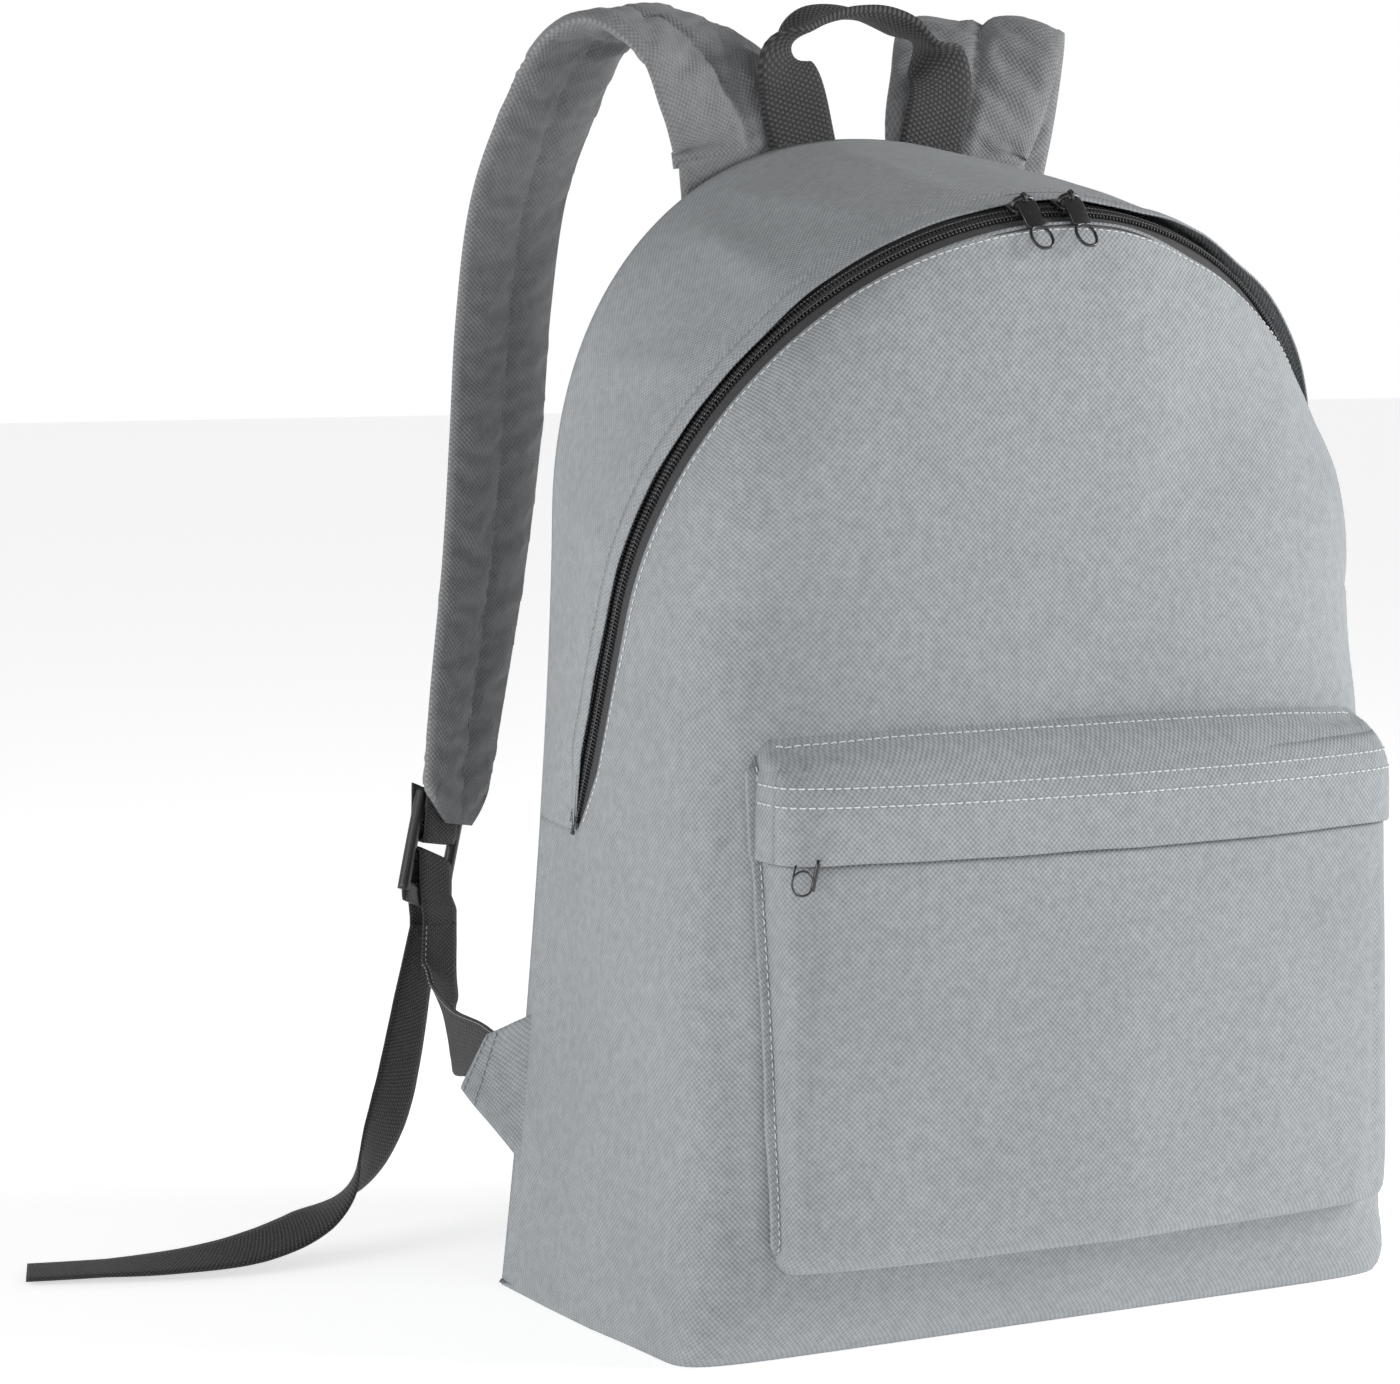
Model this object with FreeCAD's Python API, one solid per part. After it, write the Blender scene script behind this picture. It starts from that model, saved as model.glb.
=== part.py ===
import FreeCAD, Part
import math
import os
from FreeCAD import Placement, Rotation, Vector

# A soft daypack, in millimetres. +Z is up, the pocket faces -Y and the back panel faces +Y.
# The origin is the middle of the base, on the floor. The wearer's left strap is on the -X side.

# ---- driving dimensions ----
BACK_Y = 75.0            # outer face of the back panel
BACK_INSIDE_Y = 66.0     # inner face of the back panel
BACK_LINING = 1.2
BACK_FABRIC = 1.6
BINDING_GAP = 0.4        # between the body's fabric and the tape that binds the back seam inside
BINDING = 1.8
BINDING_WIDTH = 5.6
BINDING_BASE_GAP = 1.0   # from the base up to the binding
FABRIC = 2.0             # thickness of the body's fabric walls
# The body's outline at each depth: y, half-width at the bottom, half-width at mid height,
# height where the arched top starts, height of the top, height of the lower edge.
BODY_SECTIONS = [
    (BACK_Y, 158, 138, 295, 441, 0),
    (35, 160, 145, 284, 433, 0),
    (0, 161, 151, 275, 426, 0),
    (-30, 160, 151, 262, 420, 0),
    (-50, 158, 146, 255, 415, 0),
    (-64, 155, 135, 250, 410, 0),
    (-76, 146, 113, 245, 393, 10),
    (-83, 128, 85, 240, 362, 32),
    (-86, 100, 55, 235, 315, 62),
]
ARCH_ROUNDNESS = 0.92    # exponent of the arched top, 1 would be an ellipse
SIDE_FLARE = 1.6         # exponent of the widening towards the base
SIDE_STEPS = 7           # points along each side of a cross-section
ARCH_STEPS = 12          # points along each half of its arched top

ZIP_CENTRE = Vector(0, -1.6, 274.7)
ZIP_TILT = 113.6         # turn about X that stands the zip's plane up and leans it back
ZIP_R = 151.0
ZIP_LEG_TURN = 92.7      # the arch runs this far each side of the top, then on as straight legs
ZIP_LEG = 99.0
ZIP_BAND = 9.0           # half-width of the slot in the fabric that the zip fills
ZIP_END_ROOM = 2.0       # the slot runs on this far below the end of the zip's legs
SEAM_Z = 182.0           # side seam between the gusset and the front panel
COIL_GAP = 0.7           # from the zip's middle to each coil half
COIL_WIDTH = 1.9
COIL_TOP = 1.6
TAPE_TOP = 0.2
TAPE_THICKNESS = 0.8
TAPE_EDGE = 8.4
TAPE_INSET = 0.3         # the tape starts this far under the coil
STOP_LOW, STOP_HIGH = -1.0, 2.4    # an end stop's faces above the zip's surface
STOP_HALF_WIDTH = 3.2
STOP_LENGTH = 1.8
STOP_GAP = 0.1
HEM_WIDTH = 26.0         # folded and topstitched edge of the opening part of the front

COVER_HINGE = Vector(0, -86.8, 246)
COVER_GAP = 0.6          # half of the gap between the opening and the fixed part of the front

SLIDER_START = 3.2       # degrees from the top of the arch to each closed slider
SLIDER_HALF_ANGLE = 2.2
SLIDER_HALF_WIDTH = 4.6
SLIDER_LIFT = 3.4        # underside of the top plate above the zip's surface
SLIDER_PLATE = 1.1
SLIDER_UNDER_LOW, SLIDER_UNDER_HIGH = -2.6, -1.4    # faces of the plate under the coil
SLIDER_WEB = 0.35        # half the thickness of the web between the coil's halves
SLIDER_OVERLAP = 0.2     # the web runs this far into each plate
SLIDER_BAR_RADIUS = 0.7
SLIDER_BAR_HALF = 4.5    # half the length of the bar the pull hangs from
SLIDER_POST_INSIDE = 2.6
SLIDER_POST_HALF = 1.2
SLIDER_POST_SINK = 0.3
PULL_LIFT = 8.0          # bridge bar above the zip's surface
PULL_DROP = 29.0         # how far the hanging tab points below square to the zip, degrees
MAIN_PULL = (26.0, 7.0, 1.2)       # a pull's length, width and thickness
POCKET_PULL = (22.0, 7.0, 1.0)
PULL_EYE_RADIUS = 1.7
PULL_EYE_HALF = 1.8      # half the length of the eye, and of the neck below it
PULL_BORE = 0.9          # radius of the hole through the eye
PULL_RIM = 1.4           # width left round the oval hole

POCKET_AXIS_Y = 503.0    # the pocket's front is a cylinder about this upright line
POCKET_R = 615.0
POCKET_HALF = 138.0
POCKET_BOTTOM = 30.0
POCKET_TOP = 228.0
POCKET_WALL = 1.6
POCKET_REAR_Y = -45.0    # the pocket's block reaches back into the body as far as this
POCKET_CLEARANCE = 0.5   # between the pocket and the body's fabric
POCKET_END_WIDTH = 4.0   # the wall that closes each end of the pocket's zip
POCKET_ZIP_Z = 187.5
POCKET_TAPE = 9.0
POCKET_ZIP_HALF_ANGLE = 12.2
# Sections of the pocket zip: low and high faces off the pocket's front, then near and far edges
# off the zip's middle.
POCKET_TAPE_SECTION = (-1.2, -0.4, 0.9, 8.6)
POCKET_COIL_SECTION = (-0.4, 0.8, 0.6, 2.0)
POCKET_STOP_LOW, POCKET_STOP_HIGH = -1.2, 1.4
POCKET_STOP_HALF = 2.6
POCKET_STOP_TURN = 0.15
POCKET_STOP_GAP = 0.05
POCKET_SLIDER_ANGLE = -10.9
POCKET_SLIDER_HALF_ANGLE = 0.5
POCKET_SLIDER_HALF_HEIGHT = 4.2
POCKET_PLATE = 1.0       # thickness of the slider's two plates
POCKET_PLATE_TOP, POCKET_UNDER_TOP = 2.2, -1.6
POCKET_WEB = 0.3
POCKET_POST_INSIDE = 2.2
POCKET_POST_HALF = 1.0
POCKET_BAR_LIFT = 3.9    # the pull's bar in front of the pocket
POCKET_BAR_RADIUS = 0.6
POCKET_BAR_HALF = 4.0
FLAP_LOW = 184.0
FLAP_HIGH = 206.0
FLAP_INNER = 7.2
FLAP_THICKNESS = 1.6
FLAP_EXTRA_ANGLE = 0.5   # the flap reaches past each end of the zip
FLAP_FOLD_GAP = 0.4

STRAP_WIDTH = 67.0
STRAP_FABRIC = 1.2
STRAP_FOAM = 6.6
WEBBING_WIDTH = 25.0
WEBBING = 1.6
HANDLE_WIDTH = 29.0

# Shoulder strap, left: centre of the pad, direction across it, width.
STRAP_ROUTE = [
    ((-50, 84, 443), (1, 0.05, 0.2), STRAP_WIDTH),
    ((-58, 89, 460), (1, 0.2, 0.15), STRAP_WIDTH),
    ((-69, 99, 477), (1, 0.45, 0.1), STRAP_WIDTH),
    ((-83, 116, 486), (1, 0.6, 0.05), STRAP_WIDTH),
    ((-94, 132, 477), (1, 0.6, 0), STRAP_WIDTH),
    ((-101, 148, 450), (1, 0.55, 0), STRAP_WIDTH),
    ((-105, 165, 415), (1, 0.55, 0), STRAP_WIDTH),
    ((-105, 177, 370), (1, 0.55, 0), STRAP_WIDTH),
    ((-105, 183, 322), (1, 0.55, 0), 66),
    ((-109, 185, 270), (1, 0.58, 0), 62),
    ((-118, 183, 213), (1, 0.6, 0), 55),
    ((-126, 180, 166), (1, 0.6, 0), 44),
]
STRAP_ACROSS = Vector(1, 0.6, 0).normalize()
STRAP_OUT = Vector(-STRAP_ACROSS.y, STRAP_ACROSS.x, 0)
STRAP_DOWN = Vector(0, 0, -1)
BUCKLE_CENTRE = Vector(-130.5, 187.5, 151.0)
BUCKLE_LENGTH = 44.0
BUCKLE_WIDTH = 34.0
BUCKLE_THICKNESS = 4.0
BUCKLE_BAR = 4.0
BUCKLE_LIP = 5.0
LOOP_CLEARANCE = 0.35
BUCKLE_WINDOW_ROOM = 0.6 # beside the webbing in the buckle's windows
ADJUSTER_LEG = 26.4      # from the middle bar to where the folded webbing parts
STRAP_LOOP_LEGS = (14.0, 30.0)     # outer and inner legs of the webbing sewn to the pad's end
STRAP_ANCHOR_ROUTE = [
    ((-46.5, 80.5, 420), (1, 0, 0.2), STRAP_WIDTH),
    ((-49.3, 81.2, 434), (1, 0, 0.2), STRAP_WIDTH),
]
STRAP_ANCHOR_THICKNESS = 4.0

TAB_THICKNESS = 2.0
TAB_ROUTE = [((-154.0, 72, 76), (0.087, 0, 1), 62), ((-164.6, 86, 79.7), (0, 0, 1), 27)]
LOWER_ROUTE = [
    (BUCKLE_CENTRE + STRAP_DOWN * 29.3 - STRAP_OUT * 3.15, STRAP_ACROSS),
    (Vector(-129, 181, 104), STRAP_ACROSS),
    (Vector(-137, 164, 88), Vector(0.75, 0.6, 0.35)),
    (Vector(-149, 136, 80), Vector(0.45, 0.3, 0.8)),
    (Vector(-159, 108, 79), Vector(0.1, 0.1, 1)),
    (Vector(-165, 90, 81), Vector(0, 0, 1)),
]
TAIL_REST_Z = 30.0         # below this a tail lies on the floor with the bag
TAIL_START = BUCKLE_CENTRE + STRAP_DOWN * 29.3 + STRAP_OUT * 3.15
LEFT_TAIL_ROUTE = [
    (TAIL_START, STRAP_ACROSS),
    (Vector(-137, 190, 102), STRAP_ACROSS),
    (Vector(-146, 182, 76), Vector(0.9, 0.5, 0)),
    (Vector(-159, 169, 51), Vector(0.85, 0.5, 0.1)),
    (Vector(-179, 155, 29), Vector(0.75, 0.6, 0.2)),
    (Vector(-204, 145, 15), Vector(0.5, 0.7, 0.3)),
    (Vector(-231, 142, 8), Vector(0.2, 0.9, 0.25)),
    (Vector(-259, 147, 5), Vector(0, 1, 0.1)),
    (Vector(-287, 158, 3), Vector(-0.1, 1, 0)),
    (Vector(-315, 170, 2), Vector(-0.2, 1, 0)),
]
RIGHT_TAIL_ROUTE = [
    (Vector(-TAIL_START.x, TAIL_START.y, TAIL_START.z), Vector(1, -0.6, 0)),
    (Vector(135, 194, 102), Vector(1, -0.6, 0)),
    (Vector(136, 199, 76), Vector(1, -0.5, 0)),
    (Vector(133, 206, 50), Vector(1, -0.3, 0)),
    (Vector(124, 214, 27), Vector(0.9, 0.2, 0)),
    (Vector(107, 221, 11), Vector(0.7, 0.7, 0)),
    (Vector(83, 224, 4), Vector(0.3, 1, 0)),
    (Vector(56, 222, 2), Vector(0.1, 1, 0)),
    (Vector(29, 215, 2), Vector(-0.2, 1, 0)),
    (Vector(3, 205, 2), Vector(-0.3, 1, 0)),
]
HANDLE_FOOT_LOW, HANDLE_FOOT_HIGH = 424.0, 438.5
HANDLE_FOOT_GAP = 0.3    # from the back panel to the handle's sewn-down feet
HANDLE_ROUTE = [
    (Vector(-29, 77.5, 443), Vector(1, 0, 0.1), HANDLE_WIDTH),
    (Vector(-33, 78, 459), Vector(1, 0, 0.15), HANDLE_WIDTH),
    (Vector(-34, 79, 474), Vector(0.9, 0.4, 0.5), 24),
    (Vector(-22, 80, 486), Vector(0.3, 1, 0.4), 17),
    (Vector(-2, 80, 489), Vector(0, 1, 0), 15),
    (Vector(17, 79.5, 485), Vector(-0.1, 1, -0.3), 17),
    (Vector(32, 79, 477), Vector(-0.6, 0.6, 0.6), 22),
    (Vector(38, 78, 462), Vector(-1, 0.1, 0.1), 28),
    (Vector(33, 77.5, 443), Vector(-1, 0, 0.1), HANDLE_WIDTH),
]
HANDLE_THICKNESS = 2.4

ROUTE_CUT = 0.45         # share of each straight run that the arc at its end takes up
BIG = 600.0              # larger than the whole bag
X_AXIS = Vector(1, 0, 0)
Z_AXIS = Vector(0, 0, 1)
ZIP_FRAME = Placement(ZIP_CENTRE, Rotation(X_AXIS, ZIP_TILT))


# ---- general helpers ----

def box(low, high):
    size = Vector(*high) - Vector(*low)
    return Part.makeBox(size.x, size.y, size.z, Vector(*low))


def in_zip_frame(shape):
    """Places a shape drawn with +Y up the zip's plane and +Z out of its front."""
    shape.Placement = ZIP_FRAME.multiply(shape.Placement)
    return shape


def mirrored(shape):
    return shape.mirror(Vector(), X_AXIS)


def joined(shapes):
    whole = shapes[0]
    for shape in shapes[1:]:
        whole = whole.fuse(shape)
    return whole.removeSplitter()


def polyhedron(rings):
    """A closed solid through rings of four corners, with flat triangular faces. The diagonals of
    opposite sides run the same way, so that a thin twisted strip keeps its thickness."""
    triangles = []
    count = len(rings[0])
    for ring, following in zip(rings, rings[1:]):
        for k in range(count):
            after = (k + 1) % count
            corner, opposite = (following[after], ring[k]) if k < 2 else (following[k], ring[after])
            triangles.append((ring[k], ring[after], corner))
            triangles.append((opposite, following[after], following[k]))
    for k in range(1, count - 1):
        triangles.append((rings[0][0], rings[0][k + 1], rings[0][k]))
        triangles.append((rings[-1][0], rings[-1][k], rings[-1][k + 1]))
    faces = [Part.Face(Part.makePolygon([a, b, c, a])) for a, b, c in triangles]
    solid = Part.Solid(Part.makeShell(faces))
    if solid.Volume < 0:
        solid.reverse()
    return solid


def mixed(values, place):
    """The value at a fractional place in a list."""
    k = min(int(place), len(values) - 2)
    share = place - k
    return values[k] * (1 - share) + values[k + 1] * share


def rounded_route(points, arc_steps=4):
    """Straight runs joined by tangent arcs, as (place in the list, point), with the arcs' radii."""
    samples = [(0.0, points[0])]
    radii = []
    for k in range(1, len(points) - 1):
        back, ahead = points[k - 1] - points[k], points[k + 1] - points[k]
        turn = math.pi - back.getAngle(ahead)
        cut = ROUTE_CUT * min(back.Length, ahead.Length)
        start = points[k] + back * (cut / back.Length)
        end = points[k] + ahead * (cut / ahead.Length)
        radii.append(cut / math.tan(turn / 2))
        centre_way = (back.normalize() + ahead.normalize()).normalize()
        centre = points[k] + centre_way * math.hypot(cut, radii[-1])
        first, last = start - centre, end - centre
        normal = first.cross(last).normalize()
        for step in range(arc_steps + 1):
            share = step / arc_steps
            arm = Rotation(normal, math.degrees(turn) * share).multVec(first)
            samples.append((k - ROUTE_CUT + 2 * ROUTE_CUT * share, centre + arm))
    samples.append((float(len(points) - 1), points[-1]))
    return samples, radii


def ribbon_rings(stations, thickness, offset=0.0, arc_steps=4):
    """The cross-sections of a flat strip along a route of (point, direction across, width)."""
    points = [Vector(*station[0]) for station in stations]
    across = [Vector(*station[1]).normalize() for station in stations]
    widths = [station[2] if len(station) > 2 else WEBBING_WIDTH for station in stations]
    samples, _ = rounded_route(points, arc_steps)
    rings = []
    for k, (place, point) in enumerate(samples):
        before = samples[max(k - 1, 0)][1]
        after = samples[min(k + 1, len(samples) - 1)][1]
        along = (after - before).normalize()
        side = mixed(across, place)
        side = (side - along * side.dot(along)).normalize() * (mixed(widths, place) / 2)
        normal = side.cross(along).normalize()
        low, high = normal * (offset - thickness / 2), normal * (offset + thickness / 2)
        rings.append([point + side + low, point + side + high, point - side + high, point - side + low])
    return rings


def ribbon(stations, thickness, offset=0.0):
    """A flat strip along a route, moved off it along its normal."""
    return polyhedron(ribbon_rings(stations, thickness, offset))


def route_length(stations):
    samples, _ = rounded_route([Vector(*station[0]) for station in stations])
    return sum((b[1] - a[1]).Length for a, b in zip(samples, samples[1:]))


# ---- the body of the bag ----

def body_outline(y, bottom, middle, arch_z, top, low, inset):
    """One upright cross-section: a straight lower edge, flared sides and an arched top."""
    bottom, middle, top, low = bottom - inset, middle - inset, top - inset, low + inset
    right = []
    for k in range(SIDE_STEPS):
        share = k / SIDE_STEPS
        z = low + (arch_z - low) * share
        right.append(Vector(middle + (bottom - middle) * (1 - share) ** SIDE_FLARE, y, z))
    for k in range(ARCH_STEPS):
        turn = math.pi / 2 * k / ARCH_STEPS
        x = middle * math.cos(turn) ** ARCH_ROUNDNESS
        z = arch_z + (top - arch_z) * math.sin(turn) ** ARCH_ROUNDNESS
        right.append(Vector(x, y, z))
    left = [Vector(-point.x, y, point.z) for point in reversed(right)]
    points = right + [Vector(0, y, top)] + left
    arch = Part.BSplineCurve()
    arch.interpolate(points)
    return Part.Wire([Part.makeLine(points[-1], points[0]), arch.toShape()])


def envelope(inset):
    """The whole body as one solid, drawn in by the inset, and cut off flat at the base."""
    wires = []
    for k, (y, *sizes) in enumerate(BODY_SECTIONS):
        end = {0: -inset, len(BODY_SECTIONS) - 1: inset}.get(k, 0)
        wires.append(body_outline(y + end, *sizes, inset))
    solid = Part.makeLoft(wires, True, False)
    floor = max(inset, 0)
    return solid.common(box((-BIG, -BIG, floor), (BIG, BIG, BIG)))


def front_of_zip(offset):
    """Everything more than the offset in front of the zip's plane."""
    return in_zip_frame(box((-BIG, -BIG, offset), (BIG, BIG, BIG)))


def behind_zip(offset):
    return in_zip_frame(box((-BIG, -BIG, -BIG), (BIG, BIG, -offset)))


def above_cover_cut(offset):
    """Everything above the cut that runs square to the zip's plane through the cover's hinge."""
    hinge_height = ZIP_FRAME.inverse().multVec(COVER_HINGE).y
    return in_zip_frame(box((-BIG, hinge_height + offset, -BIG), (BIG, BIG, BIG)))


def zip_slot():
    leg_bottom = ZIP_R * math.cos(math.radians(ZIP_LEG_TURN)) - ZIP_LEG - ZIP_END_ROOM
    return in_zip_frame(box((-BIG, leg_bottom, -ZIP_BAND), (BIG, BIG, ZIP_BAND)))


def body_parts():
    outer = envelope(0)
    inner = envelope(FABRIC)
    shell = outer.cut(inner)
    slot = zip_slot()
    rest = shell.common(box((-BIG, -BIG, FABRIC), (BIG, BACK_INSIDE_Y, BIG))).cut(slot)
    above_seam = box((-BIG, -BIG, SEAM_Z), (BIG, BIG, BIG))
    gusset = rest.common(behind_zip(ZIP_BAND)).common(above_seam)
    cover = rest.common(front_of_zip(ZIP_BAND)).common(above_cover_cut(COVER_GAP))
    inside_hem = front_of_zip(ZIP_BAND + HEM_WIDTH)
    lower = rest.cut(behind_zip(ZIP_BAND).common(above_seam)).cut(
        front_of_zip(ZIP_BAND).common(above_cover_cut(-COVER_GAP)))
    base = outer.common(box((-BIG, -BIG, 0), (BIG, BACK_INSIDE_Y, FABRIC)))
    layers = {
        "back_panel_lining": (BACK_INSIDE_Y, BACK_INSIDE_Y + BACK_LINING),
        "back_panel_foam": (BACK_INSIDE_Y + BACK_LINING, BACK_Y - BACK_FABRIC),
        "back_panel_fabric": (BACK_Y - BACK_FABRIC, BACK_Y),
    }
    parts = {name: outer.common(box((-BIG, low, 0), (BIG, high, BIG)))
             for name, (low, high) in layers.items()}
    binding = envelope(FABRIC + BINDING_GAP).cut(envelope(FABRIC + BINDING_GAP + BINDING))
    binding_end_y = BACK_INSIDE_Y - BINDING_GAP
    parts["back_seam_binding"] = binding.common(
        box((-BIG, binding_end_y - BINDING_WIDTH, FABRIC + BINDING_BASE_GAP), (BIG, binding_end_y, BIG)))
    parts["gusset_panel"] = gusset
    parts["front_cover_panel"] = cover.common(inside_hem)
    parts["front_cover_hem"] = cover.cut(inside_hem)
    parts["front_panel_lower"] = lower
    parts["base_panel"] = base
    return parts


# ---- the main zip ----

def zip_ring(inner, outer, rear, front, start, end):
    """A piece of the zip's arch between two radii and two depths, between two angles off its top."""
    corners = [(inner, rear), (outer, rear), (outer, front), (inner, front), (inner, rear)]
    outline = Part.makePolygon([Vector(0, radius, depth) for radius, depth in corners])
    ring = Part.Face(outline).revolve(Vector(), -Z_AXIS, end - start)
    ring.rotate(Vector(), -Z_AXIS, start)
    return ring


def zip_leg(inner, outer, rear, front, length, skip=0.0):
    """The straight right-hand leg below the arch, starting skip below the arch's end."""
    turn = math.radians(ZIP_LEG_TURN)
    outward = Vector(math.sin(turn), math.cos(turn), 0)
    downward = Vector(math.cos(turn), -math.sin(turn), 0)
    corners = [(inner, rear), (outer, rear), (outer, front), (inner, front), (inner, rear)]
    points = [outward * radius + downward * skip + Z_AXIS * depth for radius, depth in corners]
    return Part.Face(Part.makePolygon(points)).extrude(downward * length)


def zip_strip(low, high, near, far, front):
    """A tape or coil half, given above the zip's surface and off its middle, as (cover, legs) or whole."""
    rear_depth, front_depth = (near, far) if front else (-far, -near)
    sizes = (ZIP_R + low, ZIP_R + high, rear_depth, front_depth)
    leg = zip_leg(*sizes, ZIP_LEG)
    if not front:
        return in_zip_frame(joined([zip_ring(*sizes, -ZIP_LEG_TURN, ZIP_LEG_TURN), leg, mirrored(leg)]))
    hinge_height = ZIP_FRAME.inverse().multVec(COVER_HINGE).y
    cut = math.degrees(math.acos(hinge_height / ZIP_R))
    gap = math.degrees(COVER_GAP / ZIP_R)
    arch = zip_ring(*sizes, -cut + gap, cut - gap)
    right = joined([zip_ring(*sizes, cut + gap, ZIP_LEG_TURN), leg])
    return in_zip_frame(arch), in_zip_frame(Part.makeCompound([right, mirrored(right)]))


def zip_slider(centre_angle):
    """Two plates either side of the coil, a web between its halves and a bridge for the pull."""
    def block(low, high, half_width, half_angle):
        return zip_ring(ZIP_R + low, ZIP_R + high, -half_width, half_width,
                        centre_angle - half_angle, centre_angle + half_angle)
    top = SLIDER_LIFT + SLIDER_PLATE
    plate_top = block(SLIDER_LIFT, top, SLIDER_HALF_WIDTH, SLIDER_HALF_ANGLE)
    plate_bottom = block(SLIDER_UNDER_LOW, SLIDER_UNDER_HIGH, SLIDER_HALF_WIDTH, SLIDER_HALF_ANGLE)
    web = block(SLIDER_UNDER_HIGH - SLIDER_OVERLAP, SLIDER_LIFT + SLIDER_OVERLAP, SLIDER_WEB,
                SLIDER_HALF_ANGLE * 0.7)
    bar_height = ZIP_R + PULL_LIFT
    bar = Part.makeCylinder(SLIDER_BAR_RADIUS, 2 * SLIDER_BAR_HALF,
                            Vector(-SLIDER_BAR_HALF, bar_height, 0), X_AXIS)
    post = box((SLIDER_POST_INSIDE, ZIP_R + top - SLIDER_POST_SINK, -SLIDER_POST_HALF),
               (SLIDER_BAR_HALF, bar_height + SLIDER_BAR_RADIUS, SLIDER_POST_HALF))
    bridge = joined([bar, post, mirrored(post)])
    bridge.rotate(Vector(), -Z_AXIS, centre_angle)
    return in_zip_frame(joined([plate_top, plate_bottom, web, bridge]))


def pull_tab(length, width, thickness):
    """A flat tab hanging along -Y from an eye round the X axis, with an oval eye at its lower end."""
    eye = Part.makeCylinder(PULL_EYE_RADIUS, 2 * PULL_EYE_HALF, Vector(-PULL_EYE_HALF, 0, 0), X_AXIS)
    neck = box((-PULL_EYE_HALF, -length * 0.5, -thickness / 2), (PULL_EYE_HALF, -1.0, thickness / 2))
    loop_centre = -length + width / 2
    loop = Part.makeCylinder(width / 2, thickness, Vector(0, loop_centre, -thickness / 2), Z_AXIS)
    sides = box((-width / 2, loop_centre, -thickness / 2), (width / 2, -length * 0.42, thickness / 2))
    hole_radius = width / 2 - PULL_RIM
    hole = Part.makeCylinder(hole_radius, 4 * thickness, Vector(0, loop_centre, -2 * thickness), Z_AXIS)
    slot = box((-hole_radius, loop_centre, -2 * thickness), (hole_radius, -length * 0.55, 2 * thickness))
    bore = Part.makeCylinder(PULL_BORE, 4 * PULL_EYE_HALF, Vector(-2 * PULL_EYE_HALF, 0, 0), X_AXIS)
    return joined([eye, neck, loop, sides]).cut(joined([hole, slot])).cut(bore)


def main_zip_parts():
    parts = {}
    tape = (TAPE_TOP - TAPE_THICKNESS, TAPE_TOP, COIL_GAP + TAPE_INSET, TAPE_EDGE)
    coil = (TAPE_TOP, COIL_TOP, COIL_GAP, COIL_GAP + COIL_WIDTH)
    for name, sizes in (("tape", tape), ("coil", coil)):
        parts[f"main_zip_rear_{name}"] = zip_strip(*sizes, front=False)
        cover, legs = zip_strip(*sizes, front=True)
        parts[f"main_zip_cover_{name}"] = cover
        parts[f"main_zip_leg_{name}s"] = legs
    stop = zip_leg(ZIP_R + STOP_LOW, ZIP_R + STOP_HIGH, -STOP_HALF_WIDTH, STOP_HALF_WIDTH, STOP_LENGTH,
                   ZIP_LEG + STOP_GAP)
    parts["main_zip_end_stops"] = in_zip_frame(Part.makeCompound([stop, mirrored(stop)]))
    for side, angle in (("left", -SLIDER_START), ("right", SLIDER_START)):
        parts[f"main_slider_{side}"] = zip_slider(angle)
        tab = pull_tab(*MAIN_PULL)
        tab.rotate(Vector(), X_AXIS, PULL_DROP - 90)
        tab.translate(Vector(0, ZIP_R + PULL_LIFT, 0))
        tab.rotate(Vector(), -Z_AXIS, angle)
        parts[f"main_pull_{side}"] = in_zip_frame(tab)
    return parts


# ---- the front pocket ----

def pocket_ring(inner, outer, low, high, start, end):
    """A piece of the pocket's curved front, between two radii, two heights and two angles."""
    corners = [(inner, low), (outer, low), (outer, high), (inner, high), (inner, low)]
    outline = Part.makePolygon([Vector(0, -radius, height) for radius, height in corners])
    ring = Part.Face(outline).revolve(Vector(), Z_AXIS, end - start)
    ring.rotate(Vector(), Z_AXIS, start)
    ring.translate(Vector(0, POCKET_AXIS_Y, 0))
    return ring


def pocket_block(inset, low, high):
    """The pocket as a solid block with a curved front."""
    drum = Part.makeCylinder(POCKET_R - inset, high - low, Vector(0, POCKET_AXIS_Y, low))
    half = POCKET_HALF - inset
    return drum.common(box((-half, -BIG, low), (half, POCKET_REAR_Y, high)))


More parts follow.
